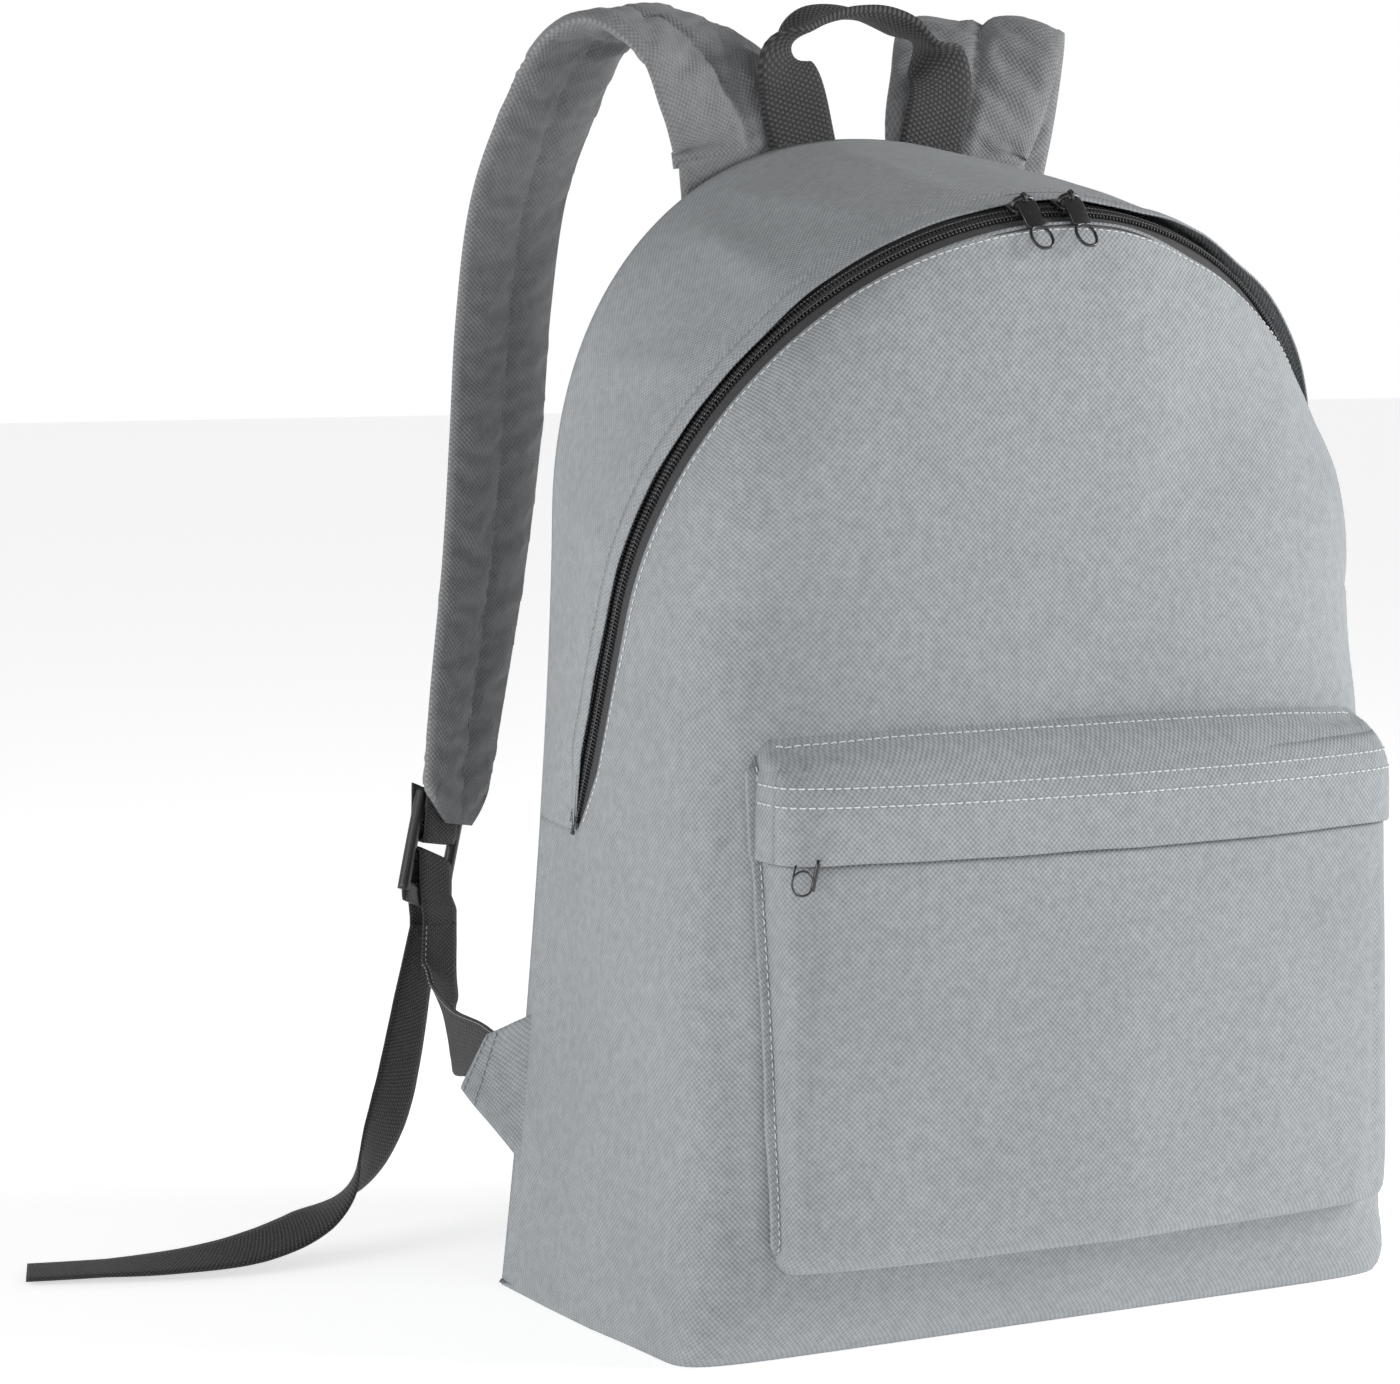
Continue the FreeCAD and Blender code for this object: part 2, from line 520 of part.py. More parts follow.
def pocket_parts():
    body = envelope(-POCKET_CLEARANCE)
    low_edge, high_edge = POCKET_ZIP_Z - POCKET_TAPE, POCKET_ZIP_Z + POCKET_TAPE
    pouch = pocket_block(0, POCKET_BOTTOM, low_edge).cut(
        pocket_block(POCKET_WALL, POCKET_BOTTOM + POCKET_WALL, low_edge))
    top = pocket_block(0, high_edge, POCKET_TOP).cut(
        pocket_block(POCKET_WALL, high_edge, POCKET_TOP - POCKET_WALL))
    ends = pocket_block(0, low_edge, high_edge).cut(pocket_block(POCKET_WALL, low_edge, high_edge))
    side_zone = box((-BIG, -BIG, 0), (-POCKET_HALF + POCKET_END_WIDTH, BIG, BIG))
    side_zones = side_zone.fuse(mirrored(side_zone))
    pouch = joined([pouch, ends.common(side_zones)])
    parts = {"pocket_shell": pouch.cut(body), "pocket_top_panel": top.cut(body)}

    reach = POCKET_ZIP_HALF_ANGLE
    for name, (low, high, near, far) in (("tapes", POCKET_TAPE_SECTION), ("coils", POCKET_COIL_SECTION)):
        halves = [pocket_ring(POCKET_R + low, POCKET_R + high, POCKET_ZIP_Z + sign * a,
                              POCKET_ZIP_Z + sign * b, -reach, reach)
                  for sign, a, b in ((-1, far, near), (1, near, far))]
        parts[f"pocket_zip_{name}"] = Part.makeCompound(halves)
    stops = [pocket_ring(POCKET_R + POCKET_STOP_LOW, POCKET_R + POCKET_STOP_HIGH,
                         POCKET_ZIP_Z - POCKET_STOP_HALF, POCKET_ZIP_Z + POCKET_STOP_HALF,
                         turn, turn + POCKET_STOP_TURN)
             for turn in (-reach - POCKET_STOP_GAP - POCKET_STOP_TURN, reach + POCKET_STOP_GAP)]
    parts["pocket_zip_stops"] = Part.makeCompound(stops)

    def block(low, high, half_height, half_angle):
        return pocket_ring(POCKET_R + low, POCKET_R + high, POCKET_ZIP_Z - half_height,
                           POCKET_ZIP_Z + half_height, -half_angle, half_angle)
    front_y = POCKET_AXIS_Y - POCKET_R
    bar_y = front_y - POCKET_BAR_LIFT
    bar = Part.makeCylinder(POCKET_BAR_RADIUS, 2 * POCKET_BAR_HALF,
                            Vector(-POCKET_BAR_HALF, bar_y, POCKET_ZIP_Z), X_AXIS)
    post_end_y = front_y - POCKET_PLATE_TOP + SLIDER_OVERLAP
    post = box((POCKET_POST_INSIDE, bar_y - POCKET_BAR_RADIUS, POCKET_ZIP_Z - POCKET_POST_HALF),
               (POCKET_BAR_HALF, post_end_y, POCKET_ZIP_Z + POCKET_POST_HALF))
    plates = [block(top - POCKET_PLATE, top, POCKET_SLIDER_HALF_HEIGHT, POCKET_SLIDER_HALF_ANGLE)
              for top in (POCKET_PLATE_TOP, POCKET_UNDER_TOP)]
    web = block(POCKET_UNDER_TOP - SLIDER_OVERLAP, POCKET_PLATE_TOP - POCKET_PLATE + SLIDER_OVERLAP,
                POCKET_WEB, 0.7 * POCKET_SLIDER_HALF_ANGLE)
    slider = joined([*plates, web, bar, post, mirrored(post)])
    tab = pull_tab(*POCKET_PULL)
    tab.rotate(Vector(), X_AXIS, 90)
    tab.translate(Vector(0, bar_y, POCKET_ZIP_Z))
    pivot = Vector(0, POCKET_AXIS_Y, 0)
    for name, shape in (("pocket_slider", slider), ("pocket_pull", tab)):
        shape.rotate(pivot, Z_AXIS, POCKET_SLIDER_ANGLE)
        parts[name] = shape

    flap_reach = POCKET_ZIP_HALF_ANGLE + FLAP_EXTRA_ANGLE
    inner, outer = POCKET_R + FLAP_INNER, POCKET_R + FLAP_INNER + FLAP_THICKNESS
    parts["pocket_flap"] = pocket_ring(inner, outer, FLAP_LOW, FLAP_HIGH, -flap_reach, flap_reach)
    parts["pocket_flap_fold"] = pocket_ring(POCKET_R + FLAP_FOLD_GAP, outer, FLAP_HIGH,
                                            FLAP_HIGH + FLAP_THICKNESS, -flap_reach, flap_reach)
    return parts


# ---- shoulder straps, buckles and webbing ----

def around_bar(bar, way, outer_leg, inner_leg):
    """Webbing folded round a buckle's bar, its legs running down the strap if way is 1, or up it if -1."""
    near = BUCKLE_BAR / 2 + LOOP_CLEARANCE
    far = near + WEBBING
    corner = bar - STRAP_ACROSS * (WEBBING_WIDTH / 2)

    def slab(out_low, out_high, down_low, down_high):
        corners = [(out_low, down_low), (out_high, down_low), (out_high, down_high), (out_low, down_high),
                   (out_low, down_low)]
        points = [corner + STRAP_OUT * out + STRAP_DOWN * (down * way) for out, down in corners]
        return Part.Face(Part.makePolygon(points)).extrude(STRAP_ACROSS * WEBBING_WIDTH)
    return joined([slab(near, far, -near, outer_leg), slab(-far, -near, -near, inner_leg),
                   slab(-far, far, -far, -near)])


def buckle():
    """A ladder lock: a flat frame with three bars, the lowest drawn down into a lip."""
    half_width, half_length, half_depth = BUCKLE_WIDTH / 2, BUCKLE_LENGTH / 2, BUCKLE_THICKNESS / 2
    frame = box((-half_width, -half_depth, -half_length - BUCKLE_LIP), (half_width, half_depth, half_length))
    window = WEBBING_WIDTH / 2 + BUCKLE_WINDOW_ROOM
    for low in (BUCKLE_BAR - half_length, BUCKLE_BAR / 2):
        high = low + half_length - 1.5 * BUCKLE_BAR
        frame = frame.cut(box((-window, -BUCKLE_WIDTH, low), (window, BUCKLE_WIDTH, high)))
    turn = math.degrees(math.atan2(STRAP_ACROSS.y, STRAP_ACROSS.x))
    frame.rotate(Vector(), Z_AXIS, turn)
    frame.translate(BUCKLE_CENTRE)
    return frame


def strap_parts():
    left = {}
    half_foam = STRAP_FOAM / 2
    left["cover"] = ribbon(STRAP_ROUTE, STRAP_FABRIC, half_foam + STRAP_FABRIC / 2)
    left["foam"] = ribbon(STRAP_ROUTE, STRAP_FOAM)
    left["backing"] = ribbon(STRAP_ROUTE, STRAP_FABRIC, -half_foam - STRAP_FABRIC / 2)
    left["anchor"] = ribbon(STRAP_ANCHOR_ROUTE, STRAP_ANCHOR_THICKNESS)
    top_bar = BUCKLE_CENTRE - STRAP_DOWN * (BUCKLE_LENGTH / 2 - BUCKLE_BAR / 2)
    left["buckle_loop"] = around_bar(top_bar, -1, *STRAP_LOOP_LEGS)
    left["buckle"] = buckle()
    left["adjuster_loop"] = around_bar(BUCKLE_CENTRE, 1, ADJUSTER_LEG, ADJUSTER_LEG)
    left["lower_webbing"] = ribbon(LOWER_ROUTE, WEBBING)
    left["tab"] = ribbon(TAB_ROUTE, TAB_THICKNESS)
    parts = {f"strap_left_{name}": shape for name, shape in left.items()}
    parts.update({f"strap_right_{name}": mirrored(shape) for name, shape in left.items()})
    for side, route in (("left", LEFT_TAIL_ROUTE), ("right", RIGHT_TAIL_ROUTE)):
        rings = ribbon_rings(route, WEBBING)
        rest = next(k for k, ring in enumerate(rings) if (ring[0].z + ring[2].z) / 2 < TAIL_REST_Z)
        tail = polyhedron(rings[:rest + 1])
        tail_end = polyhedron(rings[rest:])
        parts[f"strap_{side}_tail"] = tail
        parts[f"strap_{side}_tail_end"] = tail_end
        length = route_length(route)
        _, radii = rounded_route([station[0] for station in route])
        share = (tail.Volume + tail_end.Volume) / (length * WEBBING_WIDTH * WEBBING)
        print(f"{side} tail: {length:.0f} mm long, volume {share:.3f} of section times length, radii",
              [round(radius) for radius in radii])
    return parts


def handle_parts():
    low_y = BACK_Y + HANDLE_FOOT_GAP
    feet = [box((centre - HANDLE_WIDTH / 2, low_y, HANDLE_FOOT_LOW),
                (centre + HANDLE_WIDTH / 2, low_y + HANDLE_THICKNESS, HANDLE_FOOT_HIGH))
            for centre in (HANDLE_ROUTE[0][0].x, HANDLE_ROUTE[-1][0].x)]
    return {"grab_handle": ribbon(HANDLE_ROUTE, HANDLE_THICKNESS), "handle_anchors": Part.makeCompound(feet)}


# ---- every piece, one STEP file each ----

def main():
    os.makedirs("parts", exist_ok=True)
    parts = {}
    for made in (body_parts, main_zip_parts, pocket_parts, strap_parts, handle_parts):
        parts.update(made())
    for name, shape in parts.items():
        solids = shape.Solids
        if not solids or not shape.isValid() or min(solid.Volume for solid in solids) < 0.5:
            print("CHECK", name, len(solids), shape.isValid(), [round(solid.Volume, 2) for solid in solids])
        if len(solids) > 1:
            shape = Part.makeCompound(solids)
        elif solids:
            shape = solids[0]
        shape.exportStep(f"parts/{name}.step")
    print(len(parts), "parts")


main()
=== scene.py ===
import contextlib
import math

import bmesh
import bpy
import numpy as np
from mathutils import Matrix, Vector, noise


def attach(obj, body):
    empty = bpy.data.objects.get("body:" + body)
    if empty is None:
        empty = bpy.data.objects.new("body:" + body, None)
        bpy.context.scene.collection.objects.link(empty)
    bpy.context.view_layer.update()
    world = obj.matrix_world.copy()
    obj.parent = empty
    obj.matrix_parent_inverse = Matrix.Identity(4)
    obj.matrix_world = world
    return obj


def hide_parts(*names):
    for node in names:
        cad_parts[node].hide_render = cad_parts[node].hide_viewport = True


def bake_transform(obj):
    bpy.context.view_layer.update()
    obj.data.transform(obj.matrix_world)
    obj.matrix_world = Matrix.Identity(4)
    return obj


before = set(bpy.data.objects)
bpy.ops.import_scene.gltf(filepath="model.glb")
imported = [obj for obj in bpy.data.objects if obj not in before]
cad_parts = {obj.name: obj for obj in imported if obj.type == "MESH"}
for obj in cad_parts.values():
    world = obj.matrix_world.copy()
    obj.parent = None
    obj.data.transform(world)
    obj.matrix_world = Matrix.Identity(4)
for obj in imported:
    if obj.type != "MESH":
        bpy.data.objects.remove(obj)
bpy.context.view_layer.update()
MM = 0.001

# ---------------------------------------------------------------- sizes, in millimetres
BACK_Y = 75.0             # outer face of the back panel
SEAM_Z = 182.0            # side seam below the gusset
ARCH_ROUNDNESS = 0.92
SIDE_FLARE = 1.6
ZIP_CENTRE = np.array([0.0, -1.6, 274.7])
ZIP_TILT = math.radians(113.6)
ZIP_UP = np.array([0.0, math.cos(ZIP_TILT), math.sin(ZIP_TILT)])
ZIP_OUT = np.array([0.0, -math.sin(ZIP_TILT), math.cos(ZIP_TILT)])
ZIP_R = 151.0
ZIP_LEG_TURN = math.radians(92.7)
ZIP_LEG = 99.0
FRONT_EDGE = 9.0          # front panel's edge, in front of the zip's middle
FLANGE_EDGE = 4.95        # gusset's folded edge, behind the zip's middle
POCKET_AXIS_Y = 503.0
POCKET_R = 615.0
POCKET_ZIP_Z = 187.5
WEBBING_WIDTH = 25.0
WEBBING = 1.6


# ---------------------------------------------------------------- camera, light and floor
CAMERA_AZIMUTH, CAMERA_ELEVATION, CAMERA_ROLL = math.radians(-30.5), math.radians(6.4), math.radians(0.6)
CAMERA_DISTANCE = 1.713
CAMERA_LENS = 114.8
AIM_ACROSS, AIM_HEIGHT = -0.0999, 0.229


def add_camera():
    """The photograph's viewpoint: a long lens in front of the bag, a little above it, to its left."""
    azimuth, elevation, roll = CAMERA_AZIMUTH, CAMERA_ELEVATION, CAMERA_ROLL
    back = Vector((math.sin(azimuth) * math.cos(elevation), -math.cos(azimuth) * math.cos(elevation),
                   math.sin(elevation)))
    right = Vector((math.cos(azimuth), math.sin(azimuth), 0))
    up = back.cross(right)
    target = right * AIM_ACROSS + Vector((0, 0, AIM_HEIGHT))
    right, up = (right * math.cos(roll) + up * math.sin(roll), up * math.cos(roll) - right * math.sin(roll))
    data = bpy.data.cameras.new("camera")
    data.lens = CAMERA_LENS
    data.sensor_width = 36.0
    data.sensor_fit = "HORIZONTAL"
    camera = bpy.data.objects.new("camera", data)
    turned = Matrix((right, up, back)).transposed().to_4x4()
    camera.matrix_world = Matrix.Translation(target + back * CAMERA_DISTANCE) @ turned
    bpy.context.collection.objects.link(camera)
    bpy.context.scene.camera = camera


def add_area_light(name, place, target, size, power):
    data = bpy.data.lights.new(name, "AREA")
    data.shape = "RECTANGLE"
    data.size = size
    data.size_y = size
    data.energy = power
    light = bpy.data.objects.new(name, data)
    light.location = place
    light.rotation_euler = (Vector(target) - Vector(place)).to_track_quat("-Z", "Y").to_euler()
    bpy.context.collection.objects.link(light)


CEILING = 0.20            # light from above, as a share of the light from the walls
BAG_MIDDLE = (0, 0, 0.24)
KEY_PLACE, KEY_SIZE, KEY_POWER = (1.25, -0.82, 0.82), 0.6, 18.5
SIDE_PLACE, SIDE_SIZE, SIDE_POWER = (-1.95, -0.1, 0.5), 1.0, 14.0
FLOOR_REACH = 6.0
FLOOR_GLOW = 0.56         # the floor is a lit table, so it stays pale right to its far edge


def add_studio():
    world = bpy.data.worlds.new("studio")
    bpy.context.scene.world = world
    world.use_nodes = True
    tree = world.node_tree
    # a room with bright walls and a dim ceiling
    split = tree.nodes.new("ShaderNodeSeparateXYZ")
    tree.links.new(tree.nodes.new("ShaderNodeTexCoord").outputs["Generated"], split.inputs[0])
    ramp = tree.nodes.new("ShaderNodeValToRGB")
    for element, (position, level) in zip(ramp.color_ramp.elements, ((0.30, 1.0), (0.55, CEILING))):
        element.position = position
        element.color = (level, level, level, 1)
    tree.links.new(split.outputs[2], ramp.inputs[0])
    tree.links.new(ramp.outputs[0], tree.nodes["Background"].inputs["Color"])
    tree.nodes["Background"].inputs["Strength"].default_value = 1.0
    add_area_light("key", KEY_PLACE, BAG_MIDDLE, KEY_SIZE, KEY_POWER)
    add_area_light("side", SIDE_PLACE, BAG_MIDDLE, SIDE_SIZE, SIDE_POWER)
    mesh = bpy.data.meshes.new("floor")
    corners = [(x * FLOOR_REACH, y * FLOOR_REACH, 0) for x, y in ((-1, -1), (1, -1), (1, 1), (-1, 1))]
    mesh.from_pydata(corners, [], [(0, 1, 2, 3)])
    floor = bpy.data.objects.new("floor", mesh)
    bpy.context.collection.objects.link(floor)
    material = bpy.data.materials.new("floor_paper")
    material.use_nodes = True
    shader = material.node_tree.nodes["Principled BSDF"]
    shader.inputs["Base Color"].default_value = (0.93, 0.93, 0.93, 1)
    shader.inputs["Roughness"].default_value = 0.85
    shader.inputs["Emission Color"].default_value = (1, 1, 1, 1)
    shader.inputs["Emission Strength"].default_value = FLOOR_GLOW
    mesh.materials.append(material)
    settings = bpy.context.scene.view_settings
    settings.view_transform = "Standard"
    settings.exposure = 0.0


# ---------------------------------------------------------------- materials
class Nodes:
    """Short names for building a material's node tree."""

    def __init__(self, name, roughness, colour):
        self.material = bpy.data.materials.new(name)
        self.material.use_nodes = True
        self.tree = self.material.node_tree
        self.shader = self.tree.nodes["Principled BSDF"]
        self.shader.inputs["Roughness"].default_value = roughness
        self.shader.inputs["Base Color"].default_value = (*colour, 1)
        self.material.diffuse_color = (*colour, 1)

    def add(self, kind, **values):
        node = self.tree.nodes.new(kind)
        for name, value in values.items():
            setattr(node, name, value)
        return node

    def link(self, source, target):
        self.tree.links.new(source, target)

    def math(self, operation, first, second=0.0):
        node = self.add("ShaderNodeMath", operation=operation)
        for socket, value in zip(node.inputs, (first, second)):
            if isinstance(value, (int, float)):
                socket.default_value = value
            else:
                self.link(value, socket)
        return node.outputs[0]

    def uv(self):
        """U and V in metres along the cloth."""
        split = self.add("ShaderNodeSeparateXYZ")
        self.link(self.add("ShaderNodeUVMap").outputs[0], split.inputs[0])
        return split.outputs[0], split.outputs[1]

    def place(self):
        return self.add("ShaderNodeTexCoord").outputs["Object"]

    def noise(self, scale, detail=2.0, roughness=0.5):
        node = self.add("ShaderNodeTexNoise")
        node.inputs["Scale"].default_value = scale
        node.inputs["Detail"].default_value = detail
        node.inputs["Roughness"].default_value = roughness
        self.link(self.place(), node.inputs["Vector"])
        return node.outputs["Fac"]

    def ramp(self, factor, stops):
        node = self.add("ShaderNodeValToRGB")
        ramp = node.color_ramp
        while len(ramp.elements) < len(stops):
            ramp.elements.new(0.5)
        for element, (position, colour) in zip(ramp.elements, stops):
            element.position = position
            element.color = (*colour, 1)
        self.link(factor, node.inputs[0])
        return node.outputs[0]

    def mix(self, factor, first, second, blend="MIX"):
        node = self.add("ShaderNodeMix", data_type="RGBA", blend_type=blend)
        sockets = (node.inputs["Factor"], node.inputs[6], node.inputs[7])
        for socket, value in zip(sockets, (factor, first, second)):
            if isinstance(value, (int, float)):
                socket.default_value = value
            elif isinstance(value, tuple):
                socket.default_value = (*value, 1)
            else:
                self.link(value, socket)
        return node.outputs[2]

    def bump(self, height, distance, strength):
        node = self.add("ShaderNodeBump")
        node.inputs["Strength"].default_value = strength
        node.inputs["Distance"].default_value = distance
        self.link(height, node.inputs["Height"])
        self.link(node.outputs[0], self.shader.inputs["Normal"])

    def colour(self, value):
        self.link(value, self.shader.inputs["Base Color"])

    def rough(self, value):
        self.link(value, self.shader.inputs["Roughness"])


def scaled(colour, factor):
    return tuple(min(1.0, c * factor) for c in colour)


def plain_weave(name, colour, pitch=0.00105, contrast=0.46, depth=0.00032, roughness=0.82, sheen=0.10):
    """Coarse plain-woven polyester: over-and-under cells, uneven yarns, slow patches of tone and fuzz."""
    n = Nodes(name, roughness, colour)
    u, v = n.uv()
    wander = n.math("MULTIPLY", n.math("SUBTRACT", n.noise(900, 1), 0.5), 0.9)
    warp = n.math("SINE", n.math("ADD", n.math("MULTIPLY", u, math.pi / pitch), wander))
    weft = n.math("SINE", n.math("ADD", n.math("MULTIPLY", v, math.pi / pitch), wander))
    cells = n.math("MULTIPLY", warp, weft)
    slub = n.noise(260, 3, 0.6)
    patch = n.noise(9, 3, 0.55)
    tone = n.ramp(patch, [(0.3, scaled(colour, 0.94)), (0.7, scaled(colour, 1.05))])
    fleck = n.math("ADD", n.math("MULTIPLY", cells, 0.5),
                   n.math("MULTIPLY", n.math("SUBTRACT", slub, 0.5), 1.2))
    shade = n.ramp(n.math("ADD", n.math("MULTIPLY", fleck, 0.5), 0.5),
                   [(0.0, (1 - contrast,) * 3), (1.0, (1 + contrast,) * 3)])
    n.colour(n.mix(1.0, tone, shade, "MULTIPLY"))
    n.rough(n.math("ADD", n.math("MULTIPLY", slub, 0.14), roughness - 0.07))
    n.shader.inputs["Sheen Weight"].default_value = sheen
    n.shader.inputs["Sheen Roughness"].default_value = 0.5
    n.bump(n.math("ADD", n.math("MULTIPLY", cells, 0.5), n.math("MULTIPLY", slub, 0.35)), depth, 0.8)
    return n.material


def webbing_weave(name, colour, pitch=0.0017, roughness=0.72):
    """Heavy narrow webbing: thick ribs across it, split into offset columns; its colour follows the rib height,
    with painted shade in the hollows and a painted highlight on the yarn tops.
    """
    n = Nodes(name, roughness, colour)
    u, v = n.uv()
    column = n.math("SINE", n.math("MULTIPLY", u, math.pi / (pitch * 0.9)))
    offset = n.math("MULTIPLY", n.math("SIGN", column), math.pi / 2)
    rib = n.math("SINE", n.math("ADD", n.math("MULTIPLY", v, 2 * math.pi / pitch), offset))
    height = n.math("MULTIPLY", n.math("ADD", n.math("MULTIPLY", rib, 0.5), 0.5),
                    n.math("POWER", n.math("ABSOLUTE", column), 0.5))
    fuzz = n.noise(1400, 2)
    # painted shade in the rib hollows and a painted highlight on the rib tops, taken from the rib height
    tone = n.ramp(n.math("ADD", n.math("MULTIPLY", height, 0.8), n.math("MULTIPLY", fuzz, 0.25)),
                  [(0.12, scaled(colour, 0.30)), (0.62, colour), (1.0, scaled(colour, 2.3))])
    n.colour(tone)
    n.shader.inputs["Sheen Weight"].default_value = 0.1
    n.bump(n.math("ADD", height, n.math("MULTIPLY", fuzz, 0.2)), 0.00045, 0.9)
    return n.material


def moulded_plastic(name, colour, roughness=0.35, grain=0.00003):
    n = Nodes(name, roughness, colour)
    fine = n.noise(1600, 3)
    slow = n.noise(60, 2)
    n.colour(n.ramp(slow, [(0.3, scaled(colour, 0.85)), (0.7, scaled(colour, 1.25))]))
    n.rough(n.math("ADD", n.math("MULTIPLY", slow, 0.18), roughness - 0.09))
    n.bump(fine, grain, 0.6)
    return n.material


def enamelled_metal(name, colour=(0.018, 0.018, 0.02)):
    n = Nodes(name, 0.28, colour)
    wear = n.ramp(n.noise(700, 4, 0.7), [(0.60, colour), (0.74, (0.10, 0.10, 0.10))])
    n.colour(wear)
    n.shader.inputs["Metallic"].default_value = 0.35
    n.shader.inputs["Coat Weight"].default_value = 0.6
    n.shader.inputs["Coat Roughness"].default_value = 0.12
    n.rough(n.math("ADD", n.math("MULTIPLY", n.noise(220, 2), 0.25), 0.18))
    n.bump(n.noise(500, 3), 0.00004, 0.5)
    return n.material


def thread(name, colour):
    """Twisted sewing thread: fine slanting plies."""
    n = Nodes(name, 0.6, colour)
    ply = n.add("ShaderNodeTexWave")
    ply.inputs["Scale"].default_value = 900
    ply.inputs["Distortion"].default_value = 2.0
    n.link(n.place(), ply.inputs["Vector"])
    n.colour(n.ramp(ply.outputs["Fac"], [(0.0, scaled(colour, 0.72)), (1.0, colour)]))
    n.bump(ply.outputs["Fac"], 0.00008, 0.6)
    return n.material


GREY = (0.283, 0.300, 0.314)
# the straps' cloth: the shell cloth made darker and a little more neutral, painted shade for straps that hang in
# the bag's shadow
STRAP_SHADED_GREY = (0.196, 0.200, 0.207)
MATERIALS = {}


def make_materials():
    MATERIALS.update({
        "cloth": plain_weave("shell_cloth", GREY),
        # the shell cloth's weave in the darker grey: painted shade on the straps
        "strap_shaded_cloth": plain_weave("strap_shaded_cloth", STRAP_SHADED_GREY),
        "webbing": webbing_weave("webbing", (0.034, 0.034, 0.036)),
        "handle_webbing": webbing_weave("handle_webbing", (0.036, 0.036, 0.038), 0.0021),
        "tape": plain_weave("zip_tape", (0.040, 0.040, 0.043), 0.0006, 0.18, 0.00018, 0.8),
        "coil": moulded_plastic("zip_coil", (0.028, 0.028, 0.030), 0.32),
        "metal": enamelled_metal("enamelled_metal"),
        "plastic": moulded_plastic("buckle_plastic", (0.020, 0.020, 0.021), 0.30),
        "thread": thread("pale_thread", (0.80, 0.81, 0.82)),
        "coil_thread": thread("coil_thread", (0.16, 0.165, 0.17)),
        "stitch_grey": thread("grey_thread", (0.40, 0.41, 0.42)),
    })


# ---------------------------------------------------------------- mesh helpers
def distances(points):
    """How far along a line of points each of them is."""
    return np.concatenate([[0], np.cumsum(np.linalg.norm(np.diff(points, axis=0), axis=1))])


def resample(points, fractions):
    """Points at these shares of a line's length."""
    points = np.asarray(points, float)
    along = distances(points)
    at = np.asarray(fractions) * along[-1]
    return np.stack([np.interp(at, along, points[:, i]) for i in range(points.shape[1])], axis=1)


def length_of(points):
    return float(np.linalg.norm(np.diff(np.asarray(points, float), axis=0), axis=1).sum())


def smooth_curve(keys, count):
    """A Catmull-Rom curve through key rows, evenly spaced along its first three columns."""
    keys = np.asarray(keys, float)
    extended = np.vstack([2 * keys[0] - keys[1], keys, 2 * keys[-1] - keys[-2]])
    out = []
    for i in range(1, len(extended) - 2):
        a, b, c, d = extended[i - 1:i + 3]
        for t in np.linspace(0, 1, 16, endpoint=False):
            out.append(0.5 * (2 * b + (c - a) * t + (2 * a - 5 * b + 4 * c - d) * t * t
                              + (3 * b - a - 3 * c + d) * t ** 3))
    out.append(keys[-1])
    out = np.array(out)
    along = distances(out[:, :3])
    at = np.linspace(0, along[-1], count)
    return np.stack([np.interp(at, along, out[:, i]) for i in range(out.shape[1])], axis=1)


def unit(v):
    v = np.asarray(v, float)
    return v / np.maximum(np.linalg.norm(v, axis=-1, keepdims=True), 1e-12)


def lumps(points, size, seed=0.0):
    """Smooth noise of about -1 to 1 at points in millimetres, with lumps of this size."""
    return np.array([noise.noise(Vector((p[0] / size + seed, p[1] / size - seed, p[2] / size + 2 * seed)))
                     for p in points])


def fold(distance, width):
    """A soft ridge: 1 on the line, 0 beyond its width."""
    return np.exp(-(np.asarray(distance) / width) ** 2)


def new_piece(name, mesh, material, body, replaced=()):
    obj = bpy.data.objects.new(name, mesh)
    bpy.context.collection.objects.link(obj)
    mesh.materials.append(MATERIALS[material])
    mesh.polygons.foreach_set("use_smooth", [True] * len(mesh.polygons))
    if isinstance(body, str):
        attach(obj, body)
    elif body is not None:
        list(body)
        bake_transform(obj)
    if replaced:
        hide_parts(*replaced)
    return obj


def thicken(obj, thickness):
    """Gives a single layer of cloth its thickness, inwards."""
    modifier = obj.modifiers.new("thickness", "SOLIDIFY")
    modifier.thickness = thickness * MM
    modifier.offset = -1.0
    modifier.use_even_offset = False


@contextlib.contextmanager
def editing(mesh):
    """The mesh as a bmesh, written back at the end."""
    bm = bmesh.new()
    bm.from_mesh(mesh)
    bm.faces.ensure_lookup_table()
    yield bm
    bm.to_mesh(mesh)
    bm.free()


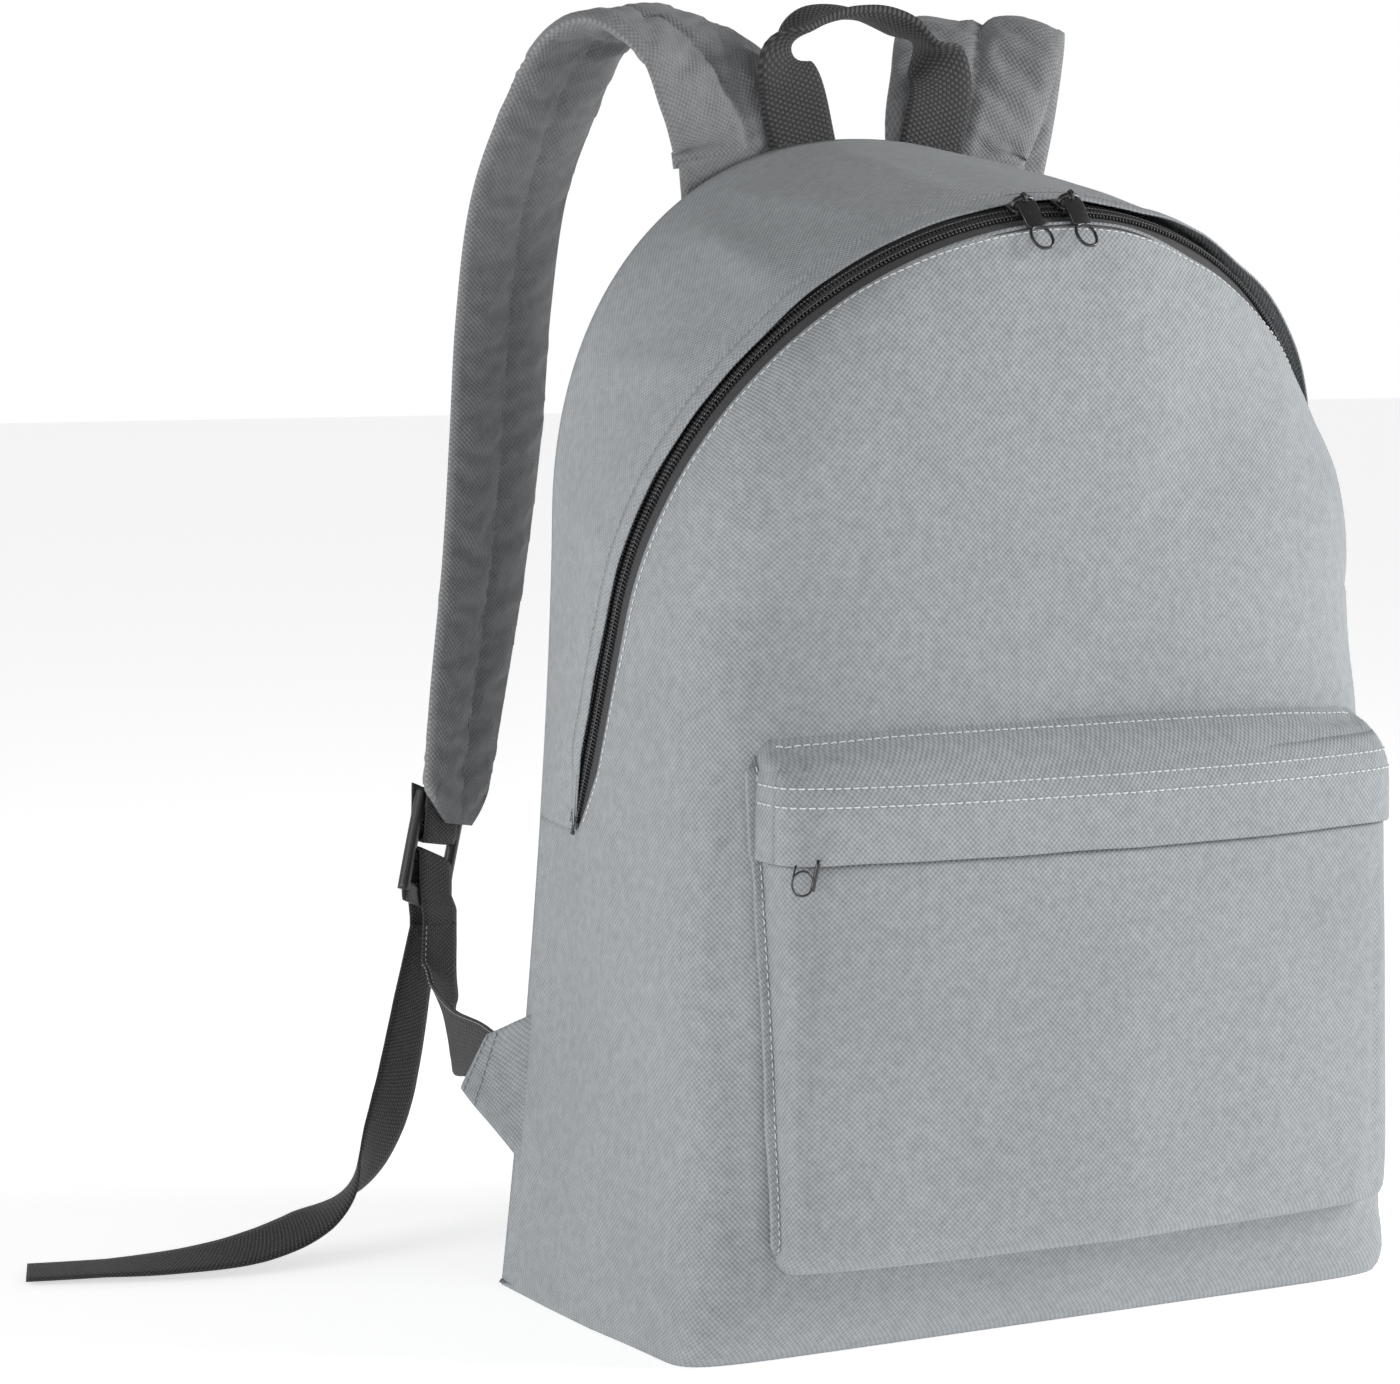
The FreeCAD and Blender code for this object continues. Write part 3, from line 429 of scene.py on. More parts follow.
def grids_to_mesh(name, grids, uvs=None):
    """One mesh from several grids of points, in millimetres; UVs are metres along the cloth."""
    vertices, faces, texture = [], [], []
    for number, grid in enumerate(grids):
        rows, columns = grid.shape[:2]
        first = len(vertices)
        vertices.extend(grid.reshape(-1, 3) * MM)
        if uvs is None:
            across = np.array([distances(row) for row in grid])
            along = np.stack([distances(grid[:, j]) for j in range(columns)], axis=1)
            uv = np.stack([across - across[:, columns // 2:columns // 2 + 1], along], axis=2) * MM
        else:
            uv = uvs[number] * MM
        texture.extend(uv.reshape(-1, 2))
        for i in range(rows - 1):
            for j in range(columns - 1):
                a = first + i * columns + j
                faces.append((a, a + 1, a + columns + 1, a + columns))
    mesh = bpy.data.meshes.new(name)
    mesh.from_pydata([tuple(v) for v in vertices], [], faces)
    layer = mesh.uv_layers.new(name="UVMap")
    loops = np.zeros(len(mesh.loops), int)
    mesh.loops.foreach_get("vertex_index", loops)
    layer.data.foreach_set("uv", np.asarray(texture)[loops].ravel().astype(np.float32))
    with editing(mesh) as bm:
        bmesh.ops.remove_doubles(bm, verts=bm.verts, dist=2e-6)
        bmesh.ops.dissolve_degenerate(bm, edges=bm.edges, dist=1e-7)
    return mesh


def close_ends(mesh):
    with editing(mesh) as bm:
        edges = [e for e in bm.edges if e.is_boundary]
        if edges:
            bmesh.ops.holes_fill(bm, edges=edges, sides=0)
        bmesh.ops.recalc_face_normals(bm, faces=bm.faces)


def orient(mesh, inside):
    """Faces look away from a point inside."""
    with editing(mesh) as bm:
        bmesh.ops.recalc_face_normals(bm, faces=bm.faces)
        score = sum((f.calc_center_median() - inside).dot(f.normal) * f.calc_area() for f in bm.faces)
        if score < 0:
            bmesh.ops.reverse_faces(bm, faces=bm.faces)


def grid_normals(grid):
    """Unit normals of a grid of points."""
    return unit(np.cross(np.gradient(grid, axis=1), np.gradient(grid, axis=0)))


def tube(points, radius, sides=6, caps=True):
    """Vertices and faces of a round tube along points; the radius may vary along it."""
    points = np.asarray(points, float)
    count = len(points)
    radii = np.broadcast_to(radius, (count,))
    tangents = unit(np.gradient(points, axis=0))
    normal = np.cross(tangents[0], (0.0, 0.0, 1.0))
    if np.linalg.norm(normal) < 0.1:
        normal = np.cross(tangents[0], (0.0, 1.0, 0.0))
    vertices, faces = [], []
    for i in range(count):
        normal = unit(normal - tangents[i] * np.dot(normal, tangents[i]))
        side = np.cross(tangents[i], normal)
        for k in range(sides):
            angle = 2 * math.pi * k / sides
            vertices.append(points[i] + (normal * math.cos(angle) + side * math.sin(angle)) * radii[i])
    for i in range(count - 1):
        for k in range(sides):
            a, b = i * sides + k, i * sides + (k + 1) % sides
            faces.append((a, b, b + sides, a + sides))
    if caps:
        faces.append(tuple(range(sides))[::-1])
        faces.append(tuple((count - 1) * sides + k for k in range(sides)))
    return np.array(vertices), faces


def shells_to_mesh(name, shells):
    """One mesh from several (vertices in millimetres, faces) shells."""
    vertices, faces = [], []
    for v, f in shells:
        first = len(vertices)
        vertices.extend(tuple(p) for p in np.asarray(v) * MM)
        faces.extend(tuple(first + i for i in face) for face in f)
    mesh = bpy.data.meshes.new(name)
    mesh.from_pydata(vertices, [], faces)
    mesh.uv_layers.new(name="UVMap")
    return mesh


STITCH_PLACES = np.array([0.0, 0.12, 0.5, 0.88, 1.0])         # shares of one stitch's length
STITCH_HEIGHTS = np.array([-1.1, 0.35, 0.6, 0.35, -1.1])      # in thread radii
STITCH_FULLNESS = np.array([0.7, 1, 1.05, 1, 0.7])


def stitch_shells(path, normals, pitch=3.3, share=0.72, radius=0.26, lift=0.12):
    """Running stitches along a path: short threads that dip into the cloth at both ends."""
    along = distances(path)
    shells = []
    for i in range(max(1, int(length_of(path) / pitch))):
        at = np.clip((i + 0.5 * (1 - share) + STITCH_PLACES * share) * pitch, 0, along[-1])
        points = np.stack([np.interp(at, along, path[:, k]) for k in range(3)], axis=1)
        n = np.stack([np.interp(at, along, normals[:, k]) for k in range(3)], axis=1)
        points = points + n * (STITCH_HEIGHTS * radius + lift)[:, None]
        shells.append(tube(points, radius * STITCH_FULLNESS, 5))
    return shells


def stitch_piece(name, runs, body, material="thread", slot="shell_fabric", **shape):
    shells = []
    for path, normals in runs:
        shells.extend(stitch_shells(np.asarray(path), np.asarray(normals), **shape))
    return new_piece(name, shells_to_mesh(name, shells), material, body)


# ---------------------------------------------------------------- the bag's own surfaces
# upright sections from the back forward: depth, half-width at the base and at mid height, height where the
# arch springs, height of the arch
SECTIONS = ((75, 158, 138, 295, 441), (35, 160, 145, 284, 433), (0, 161, 151, 275, 426),
            (-30, 160, 151, 262, 420))
FRONT_HEIGHTS = [0, 4, 10, 22, 36, 62, 300, 330, 362, 385, 398, 406, 409.5]
FRONT_DEPTHS = [-71, -76, -80, -83.5, -86, -87.5, -86, -85, -82.5, -78.5, -75.3, -72.6, -70.3]
CORNER_HEIGHTS, CORNER_DEPTHS = [0, 60, 220, 271], [-30, -18, -15, -9.9]
POWER_HEIGHTS, POWERS = [0, 25, 60, 120, 200, 271], [10.0, 6.4, 5.4, 5.0, 4.1, 3.15]


def section_half_width(section, z):
    _, bottom, middle, arch, top = section
    if z <= arch:
        return middle + (bottom - middle) * max(0.0, 1 - z / arch) ** SIDE_FLARE
    t = math.asin(min(1.0, (z - arch) / (top - arch)) ** (1 / ARCH_ROUNDNESS))
    return middle * math.cos(t) ** ARCH_ROUNDNESS


def side_x(y, z):
    """Half-width of the bag at depth y and height z."""
    widths = [section_half_width(s, z) for s in reversed(SECTIONS)]
    return float(np.interp(y, [s[0] for s in reversed(SECTIONS)], widths))


def front_y(z):
    """Depth of the front's centre line at height z."""
    return float(np.interp(z, FRONT_HEIGHTS, FRONT_DEPTHS))


def zip_point(a, s=0.0, lift=0.0):
    """A point by the main zip: a along it from the top, s forward of its middle, lift outward."""
    turn = max(-ZIP_LEG_TURN, min(ZIP_LEG_TURN, a / ZIP_R))
    extra = abs(a) - ZIP_R * abs(turn)
    side = 1 if a >= 0 else -1
    x = (ZIP_R + lift) * math.sin(turn) + side * extra * math.cos(turn)
    up = (ZIP_R + lift) * math.cos(turn) - extra * math.sin(abs(turn))
    return ZIP_CENTRE + np.array([x, 0, 0]) + ZIP_UP * up + ZIP_OUT * s


def right_open(a):
    """1 where the zip's right shoulder gapes: the front sinks there and the flange stands off."""
    turn = math.degrees(a / ZIP_R)
    return smooth((turn - 6) / 18) * smooth((86 - turn) / 36)


def smooth(t):
    t = min(1.0, max(0.0, t))
    return t * t * (3 - 2 * t)


def band_drop(a, s):
    """How far the zip's front half sinks below the flat band."""
    return -3.4 * right_open(a) * min(1.0, max(0.0, (s - 2.0) / 7.0))


def zip_radial(a):
    turn = max(-ZIP_LEG_TURN, min(ZIP_LEG_TURN, a / ZIP_R))
    return np.array([math.sin(turn), 0, 0]) + ZIP_UP * math.cos(turn)


ZIP_ARC = ZIP_R * ZIP_LEG_TURN
ZIP_HALF = ZIP_ARC + ZIP_LEG
SLIT_TAPER = 30.0         # the slot closes to a point over this much of each leg
SLIT_END = ZIP_HALF - 5.0


def slit(a):
    """1 along the zip, falling to 0 at each leg's pointed end."""
    return float(np.clip((SLIT_END - abs(a)) / SLIT_TAPER, 0, 1)) ** 0.8


def front_edge_s(a):
    return 2.6 + (FRONT_EDGE - 2.6) * slit(a)


def flange_edge_s(a):
    """The flange's edge, behind the zip's middle near the sliders and over the coil further down the legs."""
    forward = 4.6 * smooth((-a - 90) / 40) + 3.0 * smooth((a - 100) / 40)
    return 2.2 + (forward - FLANGE_EDGE - 2.2) * slit(a)


FRONT_LIFT = 1.0


def zip_a_at_height(z):
    """How far from the top the front panel's edge comes down to height z."""
    low, high = 0.0, ZIP_HALF + 20
    for _ in range(40):
        middle = (low + high) / 2
        if zip_point(middle, front_edge_s(middle), FRONT_LIFT)[2] > z:
            low = middle
        else:
            high = middle
    return low


def corner_depth(z):
    """Depth at which the straight side begins to turn into the front at height z."""
    return float(np.interp(z, CORNER_HEIGHTS, CORNER_DEPTHS))


def front_power(z):
    """How square the level lines are at height z: a soft corner high up, a tight one at the base."""
    return float(np.interp(z, POWER_HEIGHTS, POWERS))


def front_row(z, start):
    """Right half of the level line round the front at height z, from the point start to the centre front."""
    points = []
    edge_x, edge_y = start[0], start[1]
    corner_y = min(corner_depth(z), edge_y)
    extra = edge_x - side_x(edge_y, z)
    for y in np.linspace(edge_y, corner_y, 40):
        points.append((side_x(y, z) + extra * math.exp(-(edge_y - y) / 18), y, z))
    width = points[-1][0]
    power = front_power(z)
    depth = front_y(z) - corner_y
    for phi in np.linspace(0, math.pi / 2, 90)[1:]:
        x = width * math.cos(phi) ** (2 / power)
        y = corner_y + depth * math.sin(phi) ** (2 / power)
        points.append((x, y, z))
    points[-1] = (0.0, front_y(z), z)
    return np.array(points)


def front_meridian(turn):
    """A line on the upper front from the zip's edge, at this turn from the top, to the arch's centre."""
    a = turn * ZIP_R
    edge = zip_point(a, FRONT_EDGE, FRONT_LIFT + band_drop(a, FRONT_EDGE))
    centre_z = zip_point(ZIP_R * math.pi / 2, FRONT_EDGE, FRONT_LIFT)[2]
    opened = smooth((math.degrees(turn) - 4) / 34) * smooth((92 - math.degrees(turn)) / 56)
    power = (2.35 + 0.75 * math.sin(turn) ** 2) * (1 - opened) + 1.75 * opened
    points = []
    for phi in np.linspace(0, math.pi / 2, 110):
        r = math.cos(phi) ** (2 / power)
        g = math.sin(phi) ** (2 / power)
        x = edge[0] * r
        z = centre_z + (edge[2] - centre_z) * r
        points.append((x, edge[1] + (front_y(z) - edge[1]) * g, z))
    return np.array(points), centre_z


HALF_COLUMNS = 84
SIDE_COLUMNS = 16


def mirrored_row(half):
    """A whole level line and its cloth coordinates, from its right half's edge-to-centre line."""
    row = np.vstack([half * np.array([-1, 1, 1]), half[::-1][1:]])
    arc = distances(row)
    return row, np.stack([arc - arc[len(arc) // 2], row[:, 2]], axis=1)


def front_surface():
    """The grids of the bag's front and sides, with the cloth's own coordinates."""
    fractions = np.linspace(0, 1, HALF_COLUMNS + 1)
    _, centre_z = front_meridian(math.pi / 2)
    split_a = zip_a_at_height(SEAM_Z)
    split = zip_point(split_a, front_edge_s(split_a), FRONT_LIFT)
    lower, lower_uv = [], []
    heights = np.concatenate([[0, 0.8, 2, 4, 7, 11], np.linspace(15, SEAM_Z, 57)])
    for z in heights:
        near = math.exp(-(SEAM_Z - z) / 16)
        side_part = [(side_x(y, z) + near * (split[0] - side_x(split[1], z))
                      * math.exp(-abs(y - split[1]) / 20), y, z)
                     for y in np.linspace(BACK_Y, split[1], SIDE_COLUMNS + 1)]
        front_part = resample(front_row(z, side_part[-1]), fractions)
        front_part[0] = side_part[-1]
        row, uv = mirrored_row(np.vstack([side_part[:-1], front_part]))
        lower.append(row)
        lower_uv.append(uv)
    middle, middle_uv = [], []
    for z in np.linspace(SEAM_Z, centre_z, 31):
        a = zip_a_at_height(z)
        edge = zip_point(a, front_edge_s(a), FRONT_LIFT)
        half = resample(front_row(z, edge), fractions)
        half[0] = edge
        row, uv = mirrored_row(half)
        middle.append(row)
        middle_uv.append(uv)
    upper, upper_uv = [], []
    for turn in np.linspace(-math.pi / 2, math.pi / 2, 131):
        line, _ = front_meridian(turn)
        line = resample(line, fractions)
        arc = distances(line[::-1])[::-1]
        upper.append(line)
        upper_uv.append(np.stack([arc * math.sin(turn), centre_z + arc * math.cos(turn)], axis=1))
    lower, middle, upper = np.array(lower), np.array(middle), np.array(upper)
    lower_uv, middle_uv, upper_uv = np.array(lower_uv), np.array(middle_uv), np.array(upper_uv)
    middle[-1, :HALF_COLUMNS + 1] = upper[0]
    middle[-1, HALF_COLUMNS:] = upper[-1][::-1]
    middle[0] = lower[-1][SIDE_COLUMNS:-SIDE_COLUMNS]
    return [lower, middle, upper[:, ::-1]], [lower_uv, middle_uv, upper_uv[:, ::-1]]


# ---------------------------------------------------------------- front, sides and base of the bag
COVER_BLEND = ("pack_body", "front_cover", (0, 0.039, 0.190), (0, -0.066, 0.430))


def band(value, start, end):
    """0 before start, 1 after end, straight between; start may be the larger."""
    return np.clip((value - start) / (end - start), 0, 1)


def corner_creases(across, up, creases, width, rise):
    """Creases that rise from a lower corner: across and up are the distances from it, in millimetres."""
    total = 0
    for turn, strength, reach in creases:
        ax, az = math.cos(math.radians(turn)), math.sin(math.radians(turn))
        along, aside = across * ax + up * az, across * az - up * ax
        total = total + strength * fold(aside, width + 0.08 * np.maximum(along, 0)) * band(along, 0, rise) \
            * band(along, reach, 0)
    return total


FRONT_CREASES = ((62, 1.3, 120), (40, 1.0, 90), (78, 0.8, 100))     # direction in degrees, height, length
POCKET_CREASES = ((55, 1.2, 80), (30, 0.9, 65), (75, 0.7, 70))


def front_wrinkles(points, uv):
    """How far the front cloth stands in or out, in millimetres."""
    x, y, z = points.T
    u, v = uv.T
    d = 1.5 * lumps(points, 120, 3.1) + 0.55 * lumps(points, 48, 7.7) + 0.16 * lumps(points, 19, 1.3)
    slant = (u * 0.55 + v) / 30
    d += 0.35 * np.sin(slant + 1.5 * lumps(points, 90, 5.0)) * band(v, 210, 270) * band(v, 360, 300)
    # the base pulls the cloth into creases that rise from the lower corners
    for side in (-1, 1):
        d += corner_creases(203 - side * u, v - 4, FRONT_CREASES, 5, 20)
    # a shallow valley down each side, where the flat side turns to the back seam, and one beside the pocket
    d -= 1.6 * fold(y - 40, 22) * band(z, 170, 110) * band(z, 0, 50)
    d -= 1.8 * fold(np.abs(x) - 144, 6) * band(y, -60, -66) * band(z, 30, 50) * band(z, 228, 214)
    # puckers where the front is gathered on to the zip
    off = distance_from_zip(points)
    turn = np.arctan2(x, np.maximum((points - ZIP_CENTRE) @ ZIP_UP, 1e-6)) * ZIP_R
    pucker = np.array([noise.noise(Vector((t / 21, o / 60, 2.0))) for t, o in zip(turn, off)])
    d += 1.7 * pucker * np.exp(-np.maximum(off - 16, 0) / 26) * band(z, SEAM_Z, SEAM_Z + 20)
    edge = band(z, 0, 14) * band(y, BACK_Y, BACK_Y - 16)
    return d * edge * np.where(z > SEAM_Z - 14, band(off, 8, 22), 1.0)


def distance_from_zip(points):
    """Roughly how far each point of the front is from the zip's middle, in millimetres."""
    local = points - ZIP_CENTRE
    up, out, x = local @ ZIP_UP, local @ ZIP_OUT, local[:, 0]
    radial = np.where(up > 0, np.hypot(x, up), np.abs(x))
    return np.hypot(radial - ZIP_R, out)


def make_front():
    """The cloth of the front and sides; returns its grids."""
    grids, uvs = front_surface()
    lower, middle, upper = [grid_normals(g) for g in grids]
    centre_front = lower[len(lower) // 2, HALF_COLUMNS + SIDE_COLUMNS]
    way = 1.0 if centre_front[1] < 0 else -1.0
    grids = displaced_with(grids, uvs, [lower * way, middle * way, -upper * way], front_wrinkles)
    mesh = grids_to_mesh("front_panel", grids, uvs)
    obj = new_piece("front_panel", mesh, "cloth", COVER_BLEND,
                    ("front_panel_lower", "front_cover_panel", "front_cover_hem"))
    orient(mesh, Vector((0, 0, 0.2)))
    thicken(obj, 1.1)
    return grids


def displaced_with(grids, uvs, normals, field):
    """Moves grids along the given normals; points that lie together move together."""
    flat = np.concatenate([g.reshape(-1, 3) for g in grids])
    flat_uv = np.concatenate([u.reshape(-1, 2) for u in uvs])
    flat_normals = np.concatenate([n.reshape(-1, 3) for n in normals])
    groups = {}
    for i, p in enumerate(np.round(flat, 2)):
        groups.setdefault(tuple(p), []).append(i)
    d = field(flat, flat_uv)
    for same in groups.values():
        if len(same) > 1:
            total = flat_normals[same].sum(axis=0)
            flat_normals[same] = total / max(np.linalg.norm(total), 1e-9)
            d[same] = d[same].mean()
    moved = flat + flat_normals * d[:, None]
    out, first = [], 0
    for g in grids:
        size = g.shape[0] * g.shape[1]
        out.append(moved[first:first + size].reshape(g.shape))
        first += size
    return out


def back_half_outline(inset, low, straight_steps, arch_steps):
    """Half-widths and heights of the back panel's edge from this height up to its top, moved in by inset."""
    section = SECTIONS[0]
    _, _, middle, arch, top = section
    half = [(section_half_width(section, z) - inset, z) for z in np.linspace(low, arch, straight_steps)]
    for t in np.linspace(0, math.pi / 2, arch_steps)[1:]:
        half.append(((middle - inset) * math.cos(t) ** ARCH_ROUNDNESS,
                     arch + (top - inset - arch) * math.sin(t) ** ARCH_ROUNDNESS))
    return np.array(half)


GUSSET_ROWS = 300
GUSSET_EDGE_COLUMN = 26   # the last column before the flange's turned edge


def gusset_rows():
    """The gusset strip from the left side seam over the top to the right; each row runs from back to zip."""
    half = back_half_outline(0.0, SEAM_Z, 60, 240)
    shares = np.linspace(0, 1, GUSSET_ROWS + 1)
    outline = resample(np.vstack([half * [-1, 1], half[::-1][1:]]), shares)
    rows = []
    for share, (back_x, back_z) in zip(shares, outline):
        back = np.array([back_x, BACK_Y, back_z])
        a = (2 * share - 1) * (SLIT_END + 0.5)
        k = slit(a)
        radial = zip_radial(a)
        edge = flange_edge_s(a)
        right = np.clip((share - 0.56) / 0.12, 0, 1) * np.clip((0.93 - share) / 0.1, 0, 1)
        near_sliders = fold(a, 24)
        wave = 0.5 * noise.noise(Vector((a / 34, 0.3, 0))) + 0.35 * noise.noise(Vector((a / 13, 4.3, 0)))
        over = smooth((abs(a) - 88) / 30)
        stand = k * (1.6 + 1.7 * right + 3.4 * right_open(a) + 1.6 * near_sliders + 1.5 * over + 0.9 * wave)
        crawl = k * 0.9 * noise.noise(Vector((a / 28, 9.1, 0)))
        front = zip_point(a, edge - 12 * k, 1.0 + 0.45 * stand)
        row = []
        for t in np.linspace(0, 1, 26)[:-1]:
            point = back * (1 - t) + front * t
            bulge = math.sin(math.pi * t) ** 0.8
            row.append(point + radial * bulge * 1.2)
        for s, lift in ((-12, 0.45), (-9, 0.55), (-6, 0.72), (-3.5, 0.9), (-1.6, 1.0), (-0.5, 1.0)):
            row.append(zip_point(a, edge + s * k + crawl * np.clip(1 + s / 12, 0, 1), 1.0 + lift * stand))
        for s, lift in ((0.0, -0.4), (-0.3, -0.85), (-1.6, -1.0), (-5, -1.3), (-8, -1.9)):
            row.append(zip_point(a, edge + s * k + crawl, 1.0 + stand + lift * k))
        rows.append(row)
    return np.array(rows)


# folds across the gusset: share of its length, slope, height and width
GUSSET_FOLDS = (
    (0.10, 0.02, 1.3, 0.012), (0.17, -0.03, 1.0, 0.010), (0.27, 0.03, 1.5, 0.014),
    (0.345, -0.035, 1.7, 0.012), (0.40, 0.03, 1.1, 0.010), (0.455, -0.02, 0.9, 0.010),
    (0.56, 0.03, 1.2, 0.012), (0.63, -0.03, 1.5, 0.013), (0.71, 0.02, 1.1, 0.012),
    (0.82, -0.02, 1.2, 0.012), (0.90, 0.02, 1.0, 0.010))


def gusset_wrinkles(rows):
    """How far each point of the gusset's rows stands in or out."""
    count, columns = rows.shape[:2]
    points = rows.reshape(-1, 3)
    across = np.tile(np.linspace(0, 1, columns), (count, 1))
    along = np.tile(np.linspace(0, 1, count)[:, None], (1, columns))
    mask = band(across, 0.8, 0.6) * band(across, 0, 0.12)
    d = (1.3 * lumps(points, 70, 2.2) + 0.5 * lumps(points, 26, 8.0)).reshape(count, columns)
    for place, slope, strength, width in GUSSET_FOLDS:
        line = along - place - slope * (across - 0.5)
        d += strength * fold(line, width) * np.sin(math.pi * np.clip(across * 1.15, 0, 1)) ** 1.5
    return d * mask


def make_gusset():
    rows = gusset_rows()
    normals = grid_normals(rows)
    if normals[len(rows) // 2, 10, 2] < 0:
        normals = -normals
    rows = rows + normals * gusset_wrinkles(rows)[:, :, None]
    mesh = grids_to_mesh("gusset", [rows])
    obj = new_piece("gusset", mesh, "cloth", "pack_body", ("gusset_panel",))
    with editing(mesh) as bm:
        top = max(bm.faces, key=lambda f: f.calc_center_median().z)
        if top.normal.z < 0:
            bmesh.ops.reverse_faces(bm, faces=bm.faces)
    thicken(obj, 0.9)
    run = (rows[4:-4, GUSSET_EDGE_COLUMN], normals[4:-4, GUSSET_EDGE_COLUMN])
    stitch_piece("gusset_topstitch", [run], "pack_body", "stitch_grey", pitch=3.4, share=0.66, radius=0.2,
                 lift=0.05)


def make_base(front_grids):
    """The base: flat underneath, turned up where it meets the front and sides."""
    ring = front_grids[0][1]
    count = len(ring)
    back = np.stack([np.linspace(ring[0][0], ring[-1][0], count), np.full(count, BACK_Y - 1),
                     np.full(count, 0.4)], axis=1)
    rows = []
    for t in (0.0, 0.02, 0.06, 0.14, 0.3, 0.5, 0.75, 1.0):
        inner = back * t + ring * (1 - t)
        inner[:, 2] = np.where(t == 0, ring[:, 2], 0.35 + 0.9 * math.sin(math.pi * t))
        rows.append(inner)
    mesh = grids_to_mesh("base", [np.array(rows)])
    obj = new_piece("base", mesh, "cloth", "pack_body", ("base_panel",))
    orient(mesh, Vector((0, 0, 0.2)))
    thicken(obj, 1.2)


# ---------------------------------------------------------------- cloth simulation
CLOTH_STIFFNESS = 12.0
CLOTH_FRAMES = 14


def simulate(obj, pinned, pressure, shrink, cap):
    """Inflates a closed piece of cloth, sewn down at its pinned vertices, and keeps the result.
    No vertex moves more than cap millimetres."""
    mesh = obj.data
    rest = np.zeros(len(mesh.vertices) * 3)
    mesh.vertices.foreach_get("co", rest)
    rest = rest.reshape(-1, 3)
    group = obj.vertex_groups.new(name="sewn")
    group.add(pinned, 1.0, "REPLACE")
    cloth = obj.modifiers.new("cloth", "CLOTH")
    settings = cloth.settings
    settings.quality = 6
    settings.mass = 0.25
    settings.tension_stiffness = CLOTH_STIFFNESS
    settings.compression_stiffness = CLOTH_STIFFNESS
    settings.shear_stiffness = CLOTH_STIFFNESS / 2
    settings.bending_stiffness = 0.35
    settings.vertex_group_mass = "sewn"
    settings.pin_stiffness = 1.0
    settings.use_pressure = True
    settings.uniform_pressure_force = pressure
    settings.shrink_min = shrink
    settings.effector_weights.gravity = 0.0
    cloth.collision_settings.use_collision = False
    scene = bpy.context.scene
    for number in range(1, CLOTH_FRAMES + 1):
        scene.frame_set(number)
    evaluated = obj.evaluated_get(bpy.context.evaluated_depsgraph_get())
    after = np.zeros(len(rest) * 3)
    evaluated.data.vertices.foreach_get("co", after)
    after = after.reshape(-1, 3)
    obj.modifiers.remove(cloth)
    obj.vertex_groups.remove(group)
    move = after - rest
    size = np.linalg.norm(move, axis=1, keepdims=True)
    move *= np.minimum(1.0, cap * MM / np.maximum(size, 1e-9))
    mesh.vertices.foreach_set("co", (rest + move).ravel())
    mesh.update()
    scene.frame_set(1)


# ---------------------------------------------------------------- back panel
PANEL_INSET, PANEL_FOOT, PANEL_TOP = 1.5, 2.0, 441
PANEL_DEPTH = 7.5
QUILT_SEAMS = (-78.0, 0.0, 78.0)
QUILT_TOP = 405


